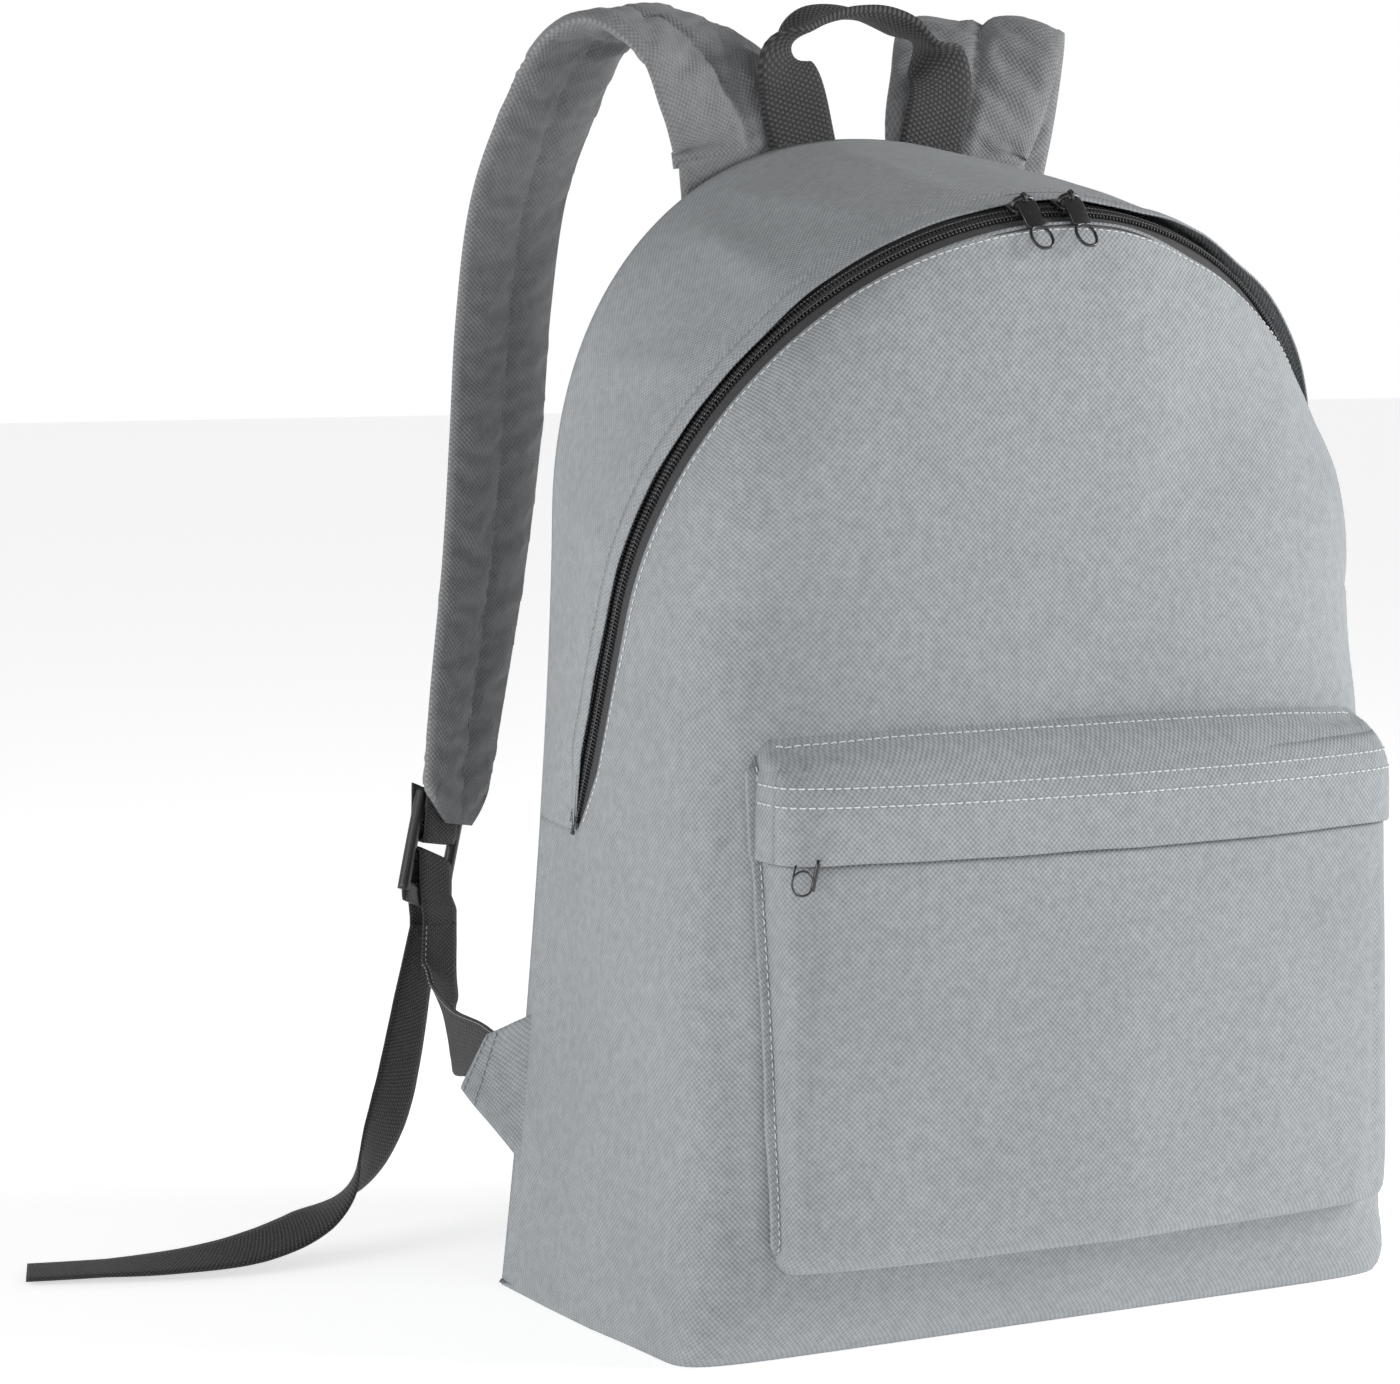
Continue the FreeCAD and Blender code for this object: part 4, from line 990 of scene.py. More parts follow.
def make_back():
    """A padded back panel, sewn round its edge and quilted in upright channels, with a bound seam."""
    half = back_half_outline(PANEL_INSET, PANEL_FOOT, 46, 60)
    heights = np.concatenate([np.linspace(2.0, 400, 110), np.linspace(402.5, 439.4, 24)])
    widths = np.interp(heights, half[:, 1], half[:, 0])
    columns = 81
    across = np.linspace(-1, 1, columns)
    across = np.sign(across) * np.abs(across) ** 0.92
    back = np.array([[(x * width, BACK_Y, z) for x in across] for z, width in zip(heights, widths)])
    front = back - [0, PANEL_DEPTH, 0]
    rise = np.zeros(back.shape[:2])
    distance = np.full(back.shape[:2], 1e9)
    for i, (z, width) in enumerate(zip(heights, widths)):
        x = back[i, :, 0]
        d = np.maximum(0, np.minimum(width - np.abs(x), np.minimum(z, PANEL_TOP - z)))
        for seam in QUILT_SEAMS if z < QUILT_TOP else ():
            d = np.minimum(d, np.abs(x - seam) + 0.8)
        rise[i] = 3.6 * (1 - np.exp(-(d / 11.0) ** 1.1))
        distance[i] = d
    puckers = 0.5 * lumps(back.reshape(-1, 3), 16, 4.0).reshape(rise.shape) * np.exp(-distance / 14) \
        + 0.7 * lumps(back.reshape(-1, 3), 60, 1.0).reshape(rise.shape)
    back[:, :, 1] += rise + puckers * np.clip(distance / 4, 0, 1) - 1.2
    front[:, :, 1] -= 0.5 * rise
    grid = np.concatenate([back, front[:, ::-1]], axis=1)
    grid = np.concatenate([grid, grid[:, :1]], axis=1)
    mesh = grids_to_mesh("back_panel", [grid])
    with editing(mesh) as bm:
        bmesh.ops.holes_fill(bm, edges=[e for e in bm.edges if e.is_boundary], sides=0)
        bmesh.ops.triangulate(bm, faces=[f for f in bm.faces if len(f.verts) > 4])
    obj = new_piece("back_panel", mesh, "cloth", None)
    orient(mesh, Vector((0, 0.071, 0.2)))
    pinned = []
    places = np.array([v.co for v in mesh.vertices]) / MM
    for index, (x, y, z) in enumerate(places):
        width = float(np.interp(z, heights, widths))
        near = min(width - abs(x), z - PANEL_FOOT, PANEL_TOP - z, *(abs(x - seam) for seam in QUILT_SEAMS))
        if near < 2.6 or y < BACK_Y - 5:
            pinned.append(index)
    simulate(obj, pinned, 2.5, shrink=-0.012, cap=3.0)
    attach(obj, "pack_body")
    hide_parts("back_panel_fabric", "back_panel_foam", "back_panel_lining")
    runs = []
    for seam in QUILT_SEAMS:
        line = np.array([(seam, BACK_Y - 0.6, z) for z in np.linspace(14, 404, 120)])
        runs.append((line, np.tile((0.0, 1.0, 0.0), (120, 1))))
    stitch_piece("back_panel_quilting", runs, "pack_body", "stitch_grey", pitch=3.6, share=0.7, radius=0.25)
    outline = np.vstack([half * [-1, 1], half[::-1][1:]])
    ring = resample(outline, np.linspace(0, 1, 260))
    path = np.stack([ring[:, 0] * 0.999, np.full(260, BACK_Y - 0.2), ring[:, 1] + 0.5], axis=1)
    bottom = np.array([(x, BACK_Y - 0.5, 2.6) for x in np.linspace(path[-1, 0], path[0, 0], 70)[1:-1]])
    path = np.vstack([path, bottom, path[:1]])
    path[:, 1] += 0.35 * lumps(path, 14, 6.0)
    new_piece("back_seam_binding_cover", shells_to_mesh("back_seam_binding_cover", [tube(path, 1.0, 8)]),
              "cloth", "pack_body", ("back_seam_binding",))


# ---------------------------------------------------------------- main zip
def tape_mesh(name, start, end, near, far, lift, count):
    """A flat zip tape, with a slight ripple, from near to far forward of the zip's middle."""
    columns = np.linspace(near, far, 7)
    grid = []
    for a in np.linspace(start, end, count):
        k = slit(a)
        grid.append([zip_point(a, s * (0.25 + 0.75 * k), lift + band_drop(a, s)
                               + 0.14 * noise.noise(Vector((a / 17, s, 3.0)))) for s in columns])
    return grids_to_mesh(name, [np.array(grid)])


COIL_PITCH = 1.55


def coil_shells(start, end, side):
    """Coil teeth across the zip, each a rounded rib that hooks over the middle, on a thick sewn edge."""
    shells = []
    count = int(abs(end - start) / COIL_PITCH)
    for i in range(count):
        a = start + (i + (0.5 if side > 0 else 0.0)) * (end - start) / count
        k = 0.3 + 0.7 * slit(a)
        offsets = np.array([3.1, 2.9, 1.9, 0.5, -0.7, -1.0]) * side * k
        lifts = np.array([0.15, 1.0, 1.35, 1.35, 1.05, 0.3])
        lean = np.array([0.0, 0.0, 0.05, 0.12, 0.2, 0.2])
        points = np.array([zip_point(a + l, s, h) for s, h, l in zip(offsets, lifts, lean)])
        shells.append(tube(points, np.array([0.36, 0.46, 0.46, 0.48, 0.56, 0.4]), 6))
    return shells


def coil_thread_runs(start, end, side):
    """The rows of chain stitches that hold the coil to its tape."""
    places = np.linspace(start, end, max(4, int(abs(end - start) / 2)))
    path = np.array([zip_point(a, side * 2.25, 1.78) for a in places])
    return [(path, np.array([zip_radial(a) for a in places]))]


def make_main_zip():
    """The zip's two halves: tape, teeth and the chain stitches that hold them."""
    whole = SLIT_END + 3
    halves = (("front", "tape", 1, COVER_BLEND, (1.0, 10.5), ("main_zip_cover_tape", "main_zip_leg_tapes"),
               ("main_zip_cover_coil", "main_zip_leg_coils")),
              ("rear", "tape_cloth", -1, "pack_body", (-11.5, -1.0), ("main_zip_rear_tape",),
               ("main_zip_rear_coil",)))
    for half, tape, side, rides, (near, far), tapes, coils in halves:
        name = f"main_zip_{half}_{tape}"
        mesh = tape_mesh(name, -whole, whole, near, far, 0.15, 420)
        thicken(new_piece(name, mesh, "tape", rides, tapes), 0.5)
    for half, _, side, rides, _, _, coils in halves:
        name = f"main_zip_{half}_teeth"
        mesh = shells_to_mesh(name, coil_shells(-whole, whole, side))
        new_piece(name, mesh, "coil", rides, coils)
    for half, _, side, rides, _, _, _ in halves:
        stitch_piece(f"main_zip_{half}_chain", coil_thread_runs(-whole + 4, whole - 4, side), rides,
                     "coil_thread", "zip_tape", pitch=COIL_PITCH, share=0.62, radius=0.2, lift=0.0)


def slider_frame(angle):
    """A place on the arch at this angle from the top, with its directions along, outward and forward."""
    turn = math.radians(angle)
    outward = np.array([math.sin(turn), 0, 0]) + ZIP_UP * math.cos(turn)
    along = np.array([math.cos(turn), 0, 0]) - ZIP_UP * math.sin(turn)
    return ZIP_CENTRE + outward * ZIP_R, along, outward, ZIP_OUT


def rounded_plate(outline, low, high, bevel):
    """A flat plate, from low to high in Y, with its outline in X and Z and its edges bevelled."""
    bm = bmesh.new()
    bottom = [bm.verts.new((x, low, z)) for x, z in outline]
    face = bm.faces.new(bottom)
    top = bmesh.ops.extrude_face_region(bm, geom=[face])
    for v in (g for g in top["geom"] if isinstance(g, bmesh.types.BMVert)):
        v.co.y = high
    edges = [e for e in bm.edges if abs(e.verts[0].co.y - e.verts[1].co.y) < 1e-6]
    bmesh.ops.bevel(bm, geom=edges, offset=bevel, segments=2, affect="EDGES", profile=0.5)
    bmesh.ops.recalc_face_normals(bm, faces=bm.faces)
    bm.verts.index_update()
    vertices = np.array([v.co for v in bm.verts])
    faces = [tuple(v.index for v in f.verts) for f in bm.faces]
    bm.free()
    return vertices, faces


def placed(shell, centre, along, outward, forward):
    """A shell moved so that its own X, Y and Z point along, outward and forward from the centre."""
    vertices, faces = shell
    vertices = np.asarray(vertices)
    moved = centre + vertices[:, :1] * along + vertices[:, 1:2] * outward + vertices[:, 2:3] * forward
    return moved, faces


def rounded_outline(half_x, half_z, radius, steps=6):
    """A rectangle with rounded corners."""
    points = []
    for cx, cz, first in ((1, 1, 0), (-1, 1, 90), (-1, -1, 180), (1, -1, 270)):
        for i in range(steps + 1):
            turn = math.radians(first + 90 * i / steps)
            points.append((cx * (half_x - radius) + radius * math.cos(turn),
                           cz * (half_z - radius) + radius * math.sin(turn)))
    return points


def slider_shells(size, bridge, nose):
    """A zip slider: two plates, side walls, a divider at its nose and a raised bridge that holds the pull."""
    shells = []
    plate = rounded_outline(5.6 * size, 4.6 * size, 2.2 * size)
    plate = [(x, z * (0.80 + 0.20 * (0.5 + 0.5 * math.tanh(nose * x / 2.0)))) for x, z in plate]
    shells.append(rounded_plate(plate, 3.0 * size, 4.3 * size, 0.4))
    shells.append(rounded_plate(plate, -1.6 * size, -0.7 * size, 0.25))
    for side in (-1, 1):
        wall = rounded_outline(4.6 * size, 0.45 * size, 0.3 * size, 3)
        wall = [(x, z + side * (3.7 + 0.25 * nose * x / size * 0.6) * size) for x, z in wall]
        shells.append(rounded_plate(wall, 0.9 * size, 3.4 * size, 0.2))
    divider = [(x + nose * 3.6 * size, z) for x, z in rounded_outline(1.3 * size, 0.8 * size, 0.6 * size, 4)]
    shells.append(rounded_plate(divider, -1.0 * size, 3.4 * size, 0.15))
    arch = [(4.4 * size * math.cos(t), 3.7 * size + (bridge - 3.7 * size) * math.sin(t) ** 0.62, 0.0)
            for t in np.linspace(0, math.pi, 19)]
    vertices, faces = tube(np.array(arch), 0.9 * size, 8)
    vertices[:, 2] *= 1.35
    shells.append((vertices, faces))
    return shells


def pull_shells(length, width, thickness):
    """A flat pull on a folded eye, hanging along -Z, with a short oval wire eye at its lower end."""
    eye = [(0.0, 1.75 * math.sin(t), 1.75 * math.cos(t)) for t in np.linspace(0, 2 * math.pi, 21)]
    shells = [tube(np.array(eye), 0.62, 8, caps=False)]
    top, waist = -1.5, -0.58 * length
    half = width / 2
    outline = [(half - 0.7, top), (half, top - 1.0), (half, waist + 0.8), (half - 0.9, waist),
               (0.9 - half, waist), (-half, waist + 0.8), (-half, top - 1.0), (0.7 - half, top)]
    shells.append(rounded_plate(outline, -thickness / 2, thickness / 2, 0.3))
    reach = half + 0.1
    middle = (waist - length) / 2 + 0.4
    tall = (waist + length) / 2
    wire = [(reach * math.copysign(abs(math.sin(t)) ** 0.8, math.sin(t)), 0.0, middle + tall * math.cos(t))
            for t in np.linspace(0, 2 * math.pi, 31)]
    shells.append(tube(np.array(wire), 0.62, 8, caps=False))
    return shells


SLIDER_ANGLES = (("left", -7.0, 1), ("right", 0.4, -1))     # degrees from the top, and the nose's direction
PULL_DROP = math.radians(29.0)
PULL_PIVOT = 7.3


def make_main_sliders():
    for side, angle, nose in SLIDER_ANGLES:
        centre, along, outward, forward = slider_frame(angle)
        shells = [placed(shell, centre, along, outward, forward) for shell in slider_shells(1.0, 7.7, nose)]
        mesh = shells_to_mesh(f"slider_{side}", shells)
        new_piece(f"slider_{side}", mesh, "metal", f"main_slider_{side}",
                  (f"main_slider_{side}",))
        hang = forward * math.cos(PULL_DROP) - outward * math.sin(PULL_DROP)
        face = outward * math.cos(PULL_DROP) + forward * math.sin(PULL_DROP)
        pivot = centre + outward * PULL_PIVOT
        shells = [placed(shell, pivot, along, face, -hang) for shell in pull_shells(23.0, 8.0, 1.2)]
        mesh = shells_to_mesh(f"pull_{side}", shells)
        new_piece(f"pull_{side}", mesh, "metal", f"main_pull_{side}", (f"main_pull_{side}",))
    shells = []
    for side in (-1, 1):
        a = side * (ZIP_HALF - 9)
        radial = zip_radial(a)
        along = (zip_point(a + side * 2) - zip_point(a)) / 2
        outline = rounded_outline(1.4, 1.9, 0.5)
        shells.append(placed(rounded_plate(outline, 0.2, 2.2, 0.3), zip_point(a), along, radial, ZIP_OUT))
    new_piece("zip_end_stops", shells_to_mesh("zip_end_stops", shells), "metal", "pack_body",
              ("main_zip_end_stops",))


EDGE_STITCH_INSET = 2.8


def front_edge_run(front_grids):
    """The topstitching beside the zip: a run along the front panel's edge, a little in from it."""
    middle, upper = front_grids[1], front_grids[2]

    def inset(row):
        step = distances(row)
        return np.array([np.interp(EDGE_STITCH_INSET, step, row[:, k]) for k in range(3)])
    left = [inset(row[:HALF_COLUMNS + 1]) for row in middle[1:]]
    right = [inset(row[HALF_COLUMNS:][::-1]) for row in middle[1:]]
    arch = [inset(line[::-1]) for line in upper]
    path = np.array(left + arch[1:-1] + right[::-1])
    normals = []
    for place in path:
        local = place - ZIP_CENTRE
        radial = unit(np.array([local[0], 0, 0]) + ZIP_UP * max(local @ ZIP_UP, 0.0))
        normals.append(unit(radial * 0.8 + ZIP_OUT * 0.6))
    return path, np.array(normals)


# ---------------------------------------------------------------- front pocket
POCKET_EDGE = 135.0
POCKET_LOW, POCKET_SEAM = 34.5, 229.5
POUCH_TOP, POCKET_TOP_LOW = 184.9, 196.2     # the edges of the cloth below and above the zip
SIDE_SEAM_TOP, SIDE_SEAM_LOW = 221, 42
POCKET_POWER = 9.5


def pocket_face_y(x, z):
    """Depth of the pocket's front at x and z: a shallow drum that bellies a little."""
    belly = 1.6 * math.sin(math.pi * np.clip((z - 29) / 160, 0, 1)) * (1 - (x / 150) ** 2)
    return POCKET_AXIS_Y - math.sqrt(POCKET_R ** 2 - x * x) - belly


def body_y(x, z):
    """Depth of the bag's own front behind the pocket."""
    corner_y = corner_depth(z)
    width = side_x(corner_y, z)
    power = front_power(z)
    return corner_y + (front_y(z) - corner_y) * max(0.0, 1 - min(1.0, abs(x) / width) ** power) ** (1 / power)


# how deep the pocket stands off the bag at each height, as a share of its full depth
POCKET_PROFILE_Z = [34, 35, 37, 40.5, 45.5, 52, 60, 190, 204, 208.5, 213.5, 219, 224.5, 228.3, 229.8]
POCKET_PROFILE_D = [0.0, 0.42, 0.70, 0.86, 0.945, 0.985, 1.0, 1.0, 1.0, 0.965, 0.87, 0.70, 0.44, 0.17, 0.0]


def pocket_half(z):
    """Half-width of the pocket at height z, with rounded corners."""
    low, high = np.clip((z - POCKET_LOW) / 6, 0, 1), np.clip((POCKET_SEAM + 1.5 - z) / 18, 0, 1)
    return POCKET_EDGE - 6 * (1 - math.sqrt(1 - (1 - low) ** 2)) - 8.0 * (1 - math.sqrt(1 - (1 - high) ** 2))


def pocket_skew(z):
    """The pocket is sewn on a little askew: how far its lower part stands to the right."""
    return 5.0 * np.clip((184 - z) / 150, 0, 1)


def pocket_corner(x):
    """How full the pocket's depth is at x: 1 across its front, falling to 0 at its side edges."""
    return max(0.0, 1 - min(1.0, abs(x) / POCKET_EDGE) ** POCKET_POWER) ** (1 / POCKET_POWER)


def arc_uv(grid):
    """Cloth coordinates for level rows: the distance along each row from its middle, and the height."""
    steps = np.linalg.norm(np.diff(grid, axis=1), axis=2)
    arc = np.concatenate([np.zeros((len(grid), 1)), np.cumsum(steps, axis=1)], axis=1)
    return np.stack([arc - arc[:, arc.shape[1] // 2][:, None], grid[:, :, 2]], axis=2)


def pocket_row(z, columns=121):
    """One level line round the pocket, from the bag's front on the left to the bag's front on the right."""
    share = float(np.interp(z, POCKET_PROFILE_Z, POCKET_PROFILE_D))
    half = pocket_half(z)
    row = []
    for t in np.linspace(-math.pi / 2, math.pi / 2, columns):
        x = half * math.copysign(abs(math.sin(t)) ** (2 / POCKET_POWER), t)
        g = math.cos(t) ** (2 / POCKET_POWER) if abs(t) < math.pi / 2 - 1e-6 else 0.0
        back = body_y(x, z) + 1.0
        row.append((x, back + (pocket_face_y(x, z) - back) * g * share, z))
    return resample(row, np.linspace(0, 1, columns))


def pocket_wrinkles(points, _):
    """How far the pocket's cloth stands in or out, in millimetres."""
    x, _, z = points.T
    d = 1.3 * lumps(points, 85, 21.0) + 0.5 * lumps(points, 33, 23.0) + 0.15 * lumps(points, 15, 4.4)
    # the hem line beside each edge, the pinched upper corners, and creases into the lower corners
    d -= 1.6 * fold(z - 223.5 + (np.abs(x) - 128) * 0.06, 2.4) * band(np.abs(x), 88, 112)
    for side in (-1, 1):
        d -= 0.9 * fold(x - side * (POCKET_EDGE - 9.5), 1.3) * band(z, 40, 60)
        d += corner_creases(128 - side * x, z - 33, POCKET_CREASES, 3.5, 14)
    keep = band(np.abs(x), POCKET_EDGE, POCKET_EDGE - 7) * band(z, POCKET_LOW, POCKET_LOW + 6) \
        * band(z, POCKET_SEAM, POCKET_SEAM - 6)
    return d * keep * band(np.abs(z - POCKET_ZIP_Z), 8, 20)


def pocket_piece(name, grid, uv=None, replaced=()):
    mesh = grids_to_mesh(name, [grid], uv)
    obj = new_piece(name, mesh, "cloth", "pack_body", replaced)
    orient(mesh, Vector((0, -0.04, 0.12)))
    thicken(obj, 0.9)


def make_pocket():
    """The pocket below and above its zip, its closed ends and side seams; returns the upper panel's grid."""
    lower_z = np.concatenate([[34, 34.4, 35, 35.9, 37.3, 39.1, 41.5, 44.5], np.linspace(47.5, POUCH_TOP, 54)])
    upper_z = np.concatenate([np.linspace(POCKET_TOP_LOW, 226, 24), [227.4, 228.5, 229.3, 229.8]])
    for name, heights, replaced in (("pocket_pouch", lower_z, ("pocket_shell",)),
                                    ("pocket_top", upper_z, ("pocket_top_panel",))):
        grid = np.array([pocket_row(z) for z in heights])
        grid[:, :, 0] += pocket_skew(grid[:, :, 2])
        if name == "pocket_pouch":
            # the turned edge along the zip
            lip = grid[-1].copy()
            lip[:, 1] += 1.6
            lip[:, 2] -= 0.2
            grid = np.concatenate([grid, lip[None]])
        else:
            lip = grid[0].copy()
            lip[:, 1] += 1.6
            grid = np.concatenate([lip[None], grid])
            # the seam along the top dips towards its corners
            dip = 3.2 * (np.abs(grid[:, :, 0]) / POCKET_EDGE) ** 3
            grid[:, :, 2] -= dip * band(grid[:, :, 2], 212, 228)
        normals = grid_normals(grid)
        if normals[len(grid) // 2, 60, 1] > 0:
            normals = -normals
        grid = displaced_with([grid], [grid[:, :, [0, 2]]], [normals], pocket_wrinkles)[0]
        pocket_piece(name, grid, [arc_uv(grid)], replaced)
    grid_of_top, normals_of_top = grid, normals
    # strips of pouch cloth beside the zip's two ends
    for label, way in (("left", 1), ("right", -1)):
        ends = [pocket_row(z, 241)[::way][:24] for z in np.linspace(POUCH_TOP, POCKET_TOP_LOW, 8)]
        pocket_piece(f"pocket_end_{label}", np.array(ends))
    # the seam allowance that stands out at each side of the pocket, with its stitches
    for side, label in ((-1, "left"), (1, "right")):
        grid, path = [], []
        for i, z in enumerate(np.linspace(SIDE_SEAM_TOP, SIDE_SEAM_LOW, 110)):
            x = side * pocket_half(z) + float(pocket_skew(z))
            wave = 0.8 * noise.noise(Vector((i / 15, 2.0, side))) \
                + 0.4 * noise.noise(Vector((i / 6, 7.0, side)))
            width = 3.6 + 0.5 * noise.noise(Vector((i / 22, 5.0, side))) + 0.9 * smooth((z - 184) / 3)
            ends = min(1.0, (SIDE_SEAM_TOP - z) / 5, (z - SIDE_SEAM_LOW) / 5 + 0.3)
            y = body_y(x, z) - 1.2 * ends
            grid.append([(x + side * out * ends, y - (lift + wave * max(0.0, out) / 3.3) * ends, z)
                         for out, lift in ((-2.5, 2.6), (0.2, 2.2), (width - 0.5, 2.0), (width, 1.5),
                                           (width, 0.6), (width - 0.5, 0.1), (0.2, 0.0), (-2.5, 0.0))])
            path.append(((x + side * 0.7), y - (2.25 + wave * 0.2) * ends, z))
        mesh = grids_to_mesh(f"pocket_seam_{label}", [np.array(grid)])
        new_piece(f"pocket_seam_{label}", mesh, "cloth", "pack_body")
        orient(mesh, Vector((side * 0.134, -0.05, 0.12)))
        run = (np.array(path[2:]), np.tile((0.0, -1.0, 0.0), (len(path) - 2, 1)))
        stitch_piece(f"pocket_seam_{label}_stitches", [run], "pack_body", "thread", pitch=3.2, share=0.6,
                     radius=0.24, lift=0.1)
    return grid_of_top, normals_of_top


# the flap's section: how far it stands off the pocket, and at what height, down its outside and up its inside
FLAP_PROFILE = [(-0.8, 218), (0.0, 216), (0.45, 214), (0.8, 212), (1.05, 210), (1.3, 208), (1.5, 206),
                (1.7, 203.5), (1.9, 199), (2.0, 194), (2.1, 189), (2.15, 186.4), (2.1, 185.3), (1.7, 184.7),
                (1.1, 185.1), (1.0, 187), (1.0, 191)]
FLAP_BLEND = ("pack_body", "pocket_flap", (0, -0.1135, 0.2085), (0, -0.1135, 0.2045))
FLAP_SEWN = 14.0          # the flap is sewn down this far from each side seam, and lifts between
FLAP_OUTSIDE = 12         # rows of the section on its outside
LOWER_STITCH_Z, UPPER_STITCH_Z = 205.0, 211.5
BOLD_STITCH = {"pitch": 3.3, "share": 0.7, "radius": 0.3}


def flap_grid():
    """The flap over the zip, from side seam to side seam: (grid, outward normals in level planes)."""
    grid, ways = [], []
    for lift, z in FLAP_PROFILE:
        row = pocket_row(z, 171)[1:-1]
        along = unit(np.gradient(row, axis=0))
        way = np.stack([along[:, 1], -along[:, 0], np.zeros(len(row))], axis=1)
        sag = band(z, 205, 185)
        lifts = []
        for x, y, _ in row:
            wave = 0.7 * noise.noise(Vector((x / 24, 1.0, y / 24))) \
                + 0.3 * noise.noise(Vector((x / 9, 5.0, 0)))
            lifts.append(lift + 2.3 * fold(x + 124, 11) * sag + 0.5 * wave * sag)
        row = row + way * np.array(lifts)[:, None]
        row[:, 2] += [0.5 * sag * noise.noise(Vector((x / 40, 8.0, 0))) for x in row[:, 0]]
        grid.append(row)
        ways.append(way)
    return np.array(grid), np.array(ways)


def make_flap(top, top_normals):
    """The flap with its stitching, and the stitching along the pocket's upper panel, whose grid it takes."""
    grid, ways = flap_grid()
    uv = arc_uv(grid)
    reach = np.abs(uv[9, :, 0]).max() - FLAP_SEWN
    lifting = np.flatnonzero(np.abs(uv[9, :, 0]) < reach)
    first, last = lifting[0], lifting[-1]
    parts = (("pocket_flap_cloth", first, last + 1, FLAP_BLEND, ("pocket_flap", "pocket_flap_fold")),
             ("pocket_flap_end_left", 0, first + 1, "pack_body", ()),
             ("pocket_flap_end_right", last, grid.shape[1], "pack_body", ()))
    for name, start, end, rides, replaced in parts:
        mesh = grids_to_mesh(name, [grid[:, start:end]], [uv[:, start:end]])
        obj = new_piece(name, mesh, "cloth", rides, replaced)
        orient(mesh, Vector((0, -0.04, 0.2)))
        thicken(obj, 0.7)

    def line_at(z, start, end):
        """A level line across the flap's outside, from column start to end, with its normals."""
        out, way = [], []
        for j in range(start, end):
            order = np.argsort(grid[:FLAP_OUTSIDE, j, 2])
            zs = grid[order, j, 2]
            out.append([np.interp(z, zs, grid[order, j, k]) for k in range(3)])
            way.append([np.interp(z, zs, ways[order, j, k]) for k in range(3)])
        return np.array(out), unit(way)
    end = grid.shape[1] - 2
    for name, z, start, stop, rides in (("lower_middle", LOWER_STITCH_Z, first, last + 1, FLAP_BLEND),
                                        ("lower_left", LOWER_STITCH_Z, 2, first + 1, "pack_body"),
                                        ("lower_right", LOWER_STITCH_Z, last, end, "pack_body"),
                                        ("upper", UPPER_STITCH_Z, 2, end, "pack_body")):
        stitch_piece(f"flap_stitches_{name}", [line_at(z, start, stop)], rides, "thread", lift=0.2,
                     **BOLD_STITCH)
    stitch_piece("pocket_top_stitches", [(top[-4, 3:-3], top_normals[-4, 3:-3])], "pack_body", "thread",
                 lift=0.3, **BOLD_STITCH)


def pocket_zip_point(angle, height, lift):
    """A point by the pocket's zip: angle in degrees from the middle, height from the zip's middle."""
    t = math.radians(angle)
    radius = POCKET_R + lift - 13 * (1 - pocket_corner(POCKET_R * math.sin(t)))
    return np.array([radius * math.sin(t), POCKET_AXIS_Y - radius * math.cos(t), POCKET_ZIP_Z + height])


def pocket_zip_frame(angle, lift):
    """The zip's place at this angle, with its directions along, outward and down."""
    t = math.radians(angle)
    return pocket_zip_point(angle, 0, lift), np.array([math.cos(t), math.sin(t), 0]), \
        np.array([math.sin(t), -math.cos(t), 0]), np.array([0, 0, -1.0])


POCKET_ZIP_REACH = 11.5
POCKET_COIL_PITCH = 1.5
POCKET_SLIDER_ANGLE = -11.8


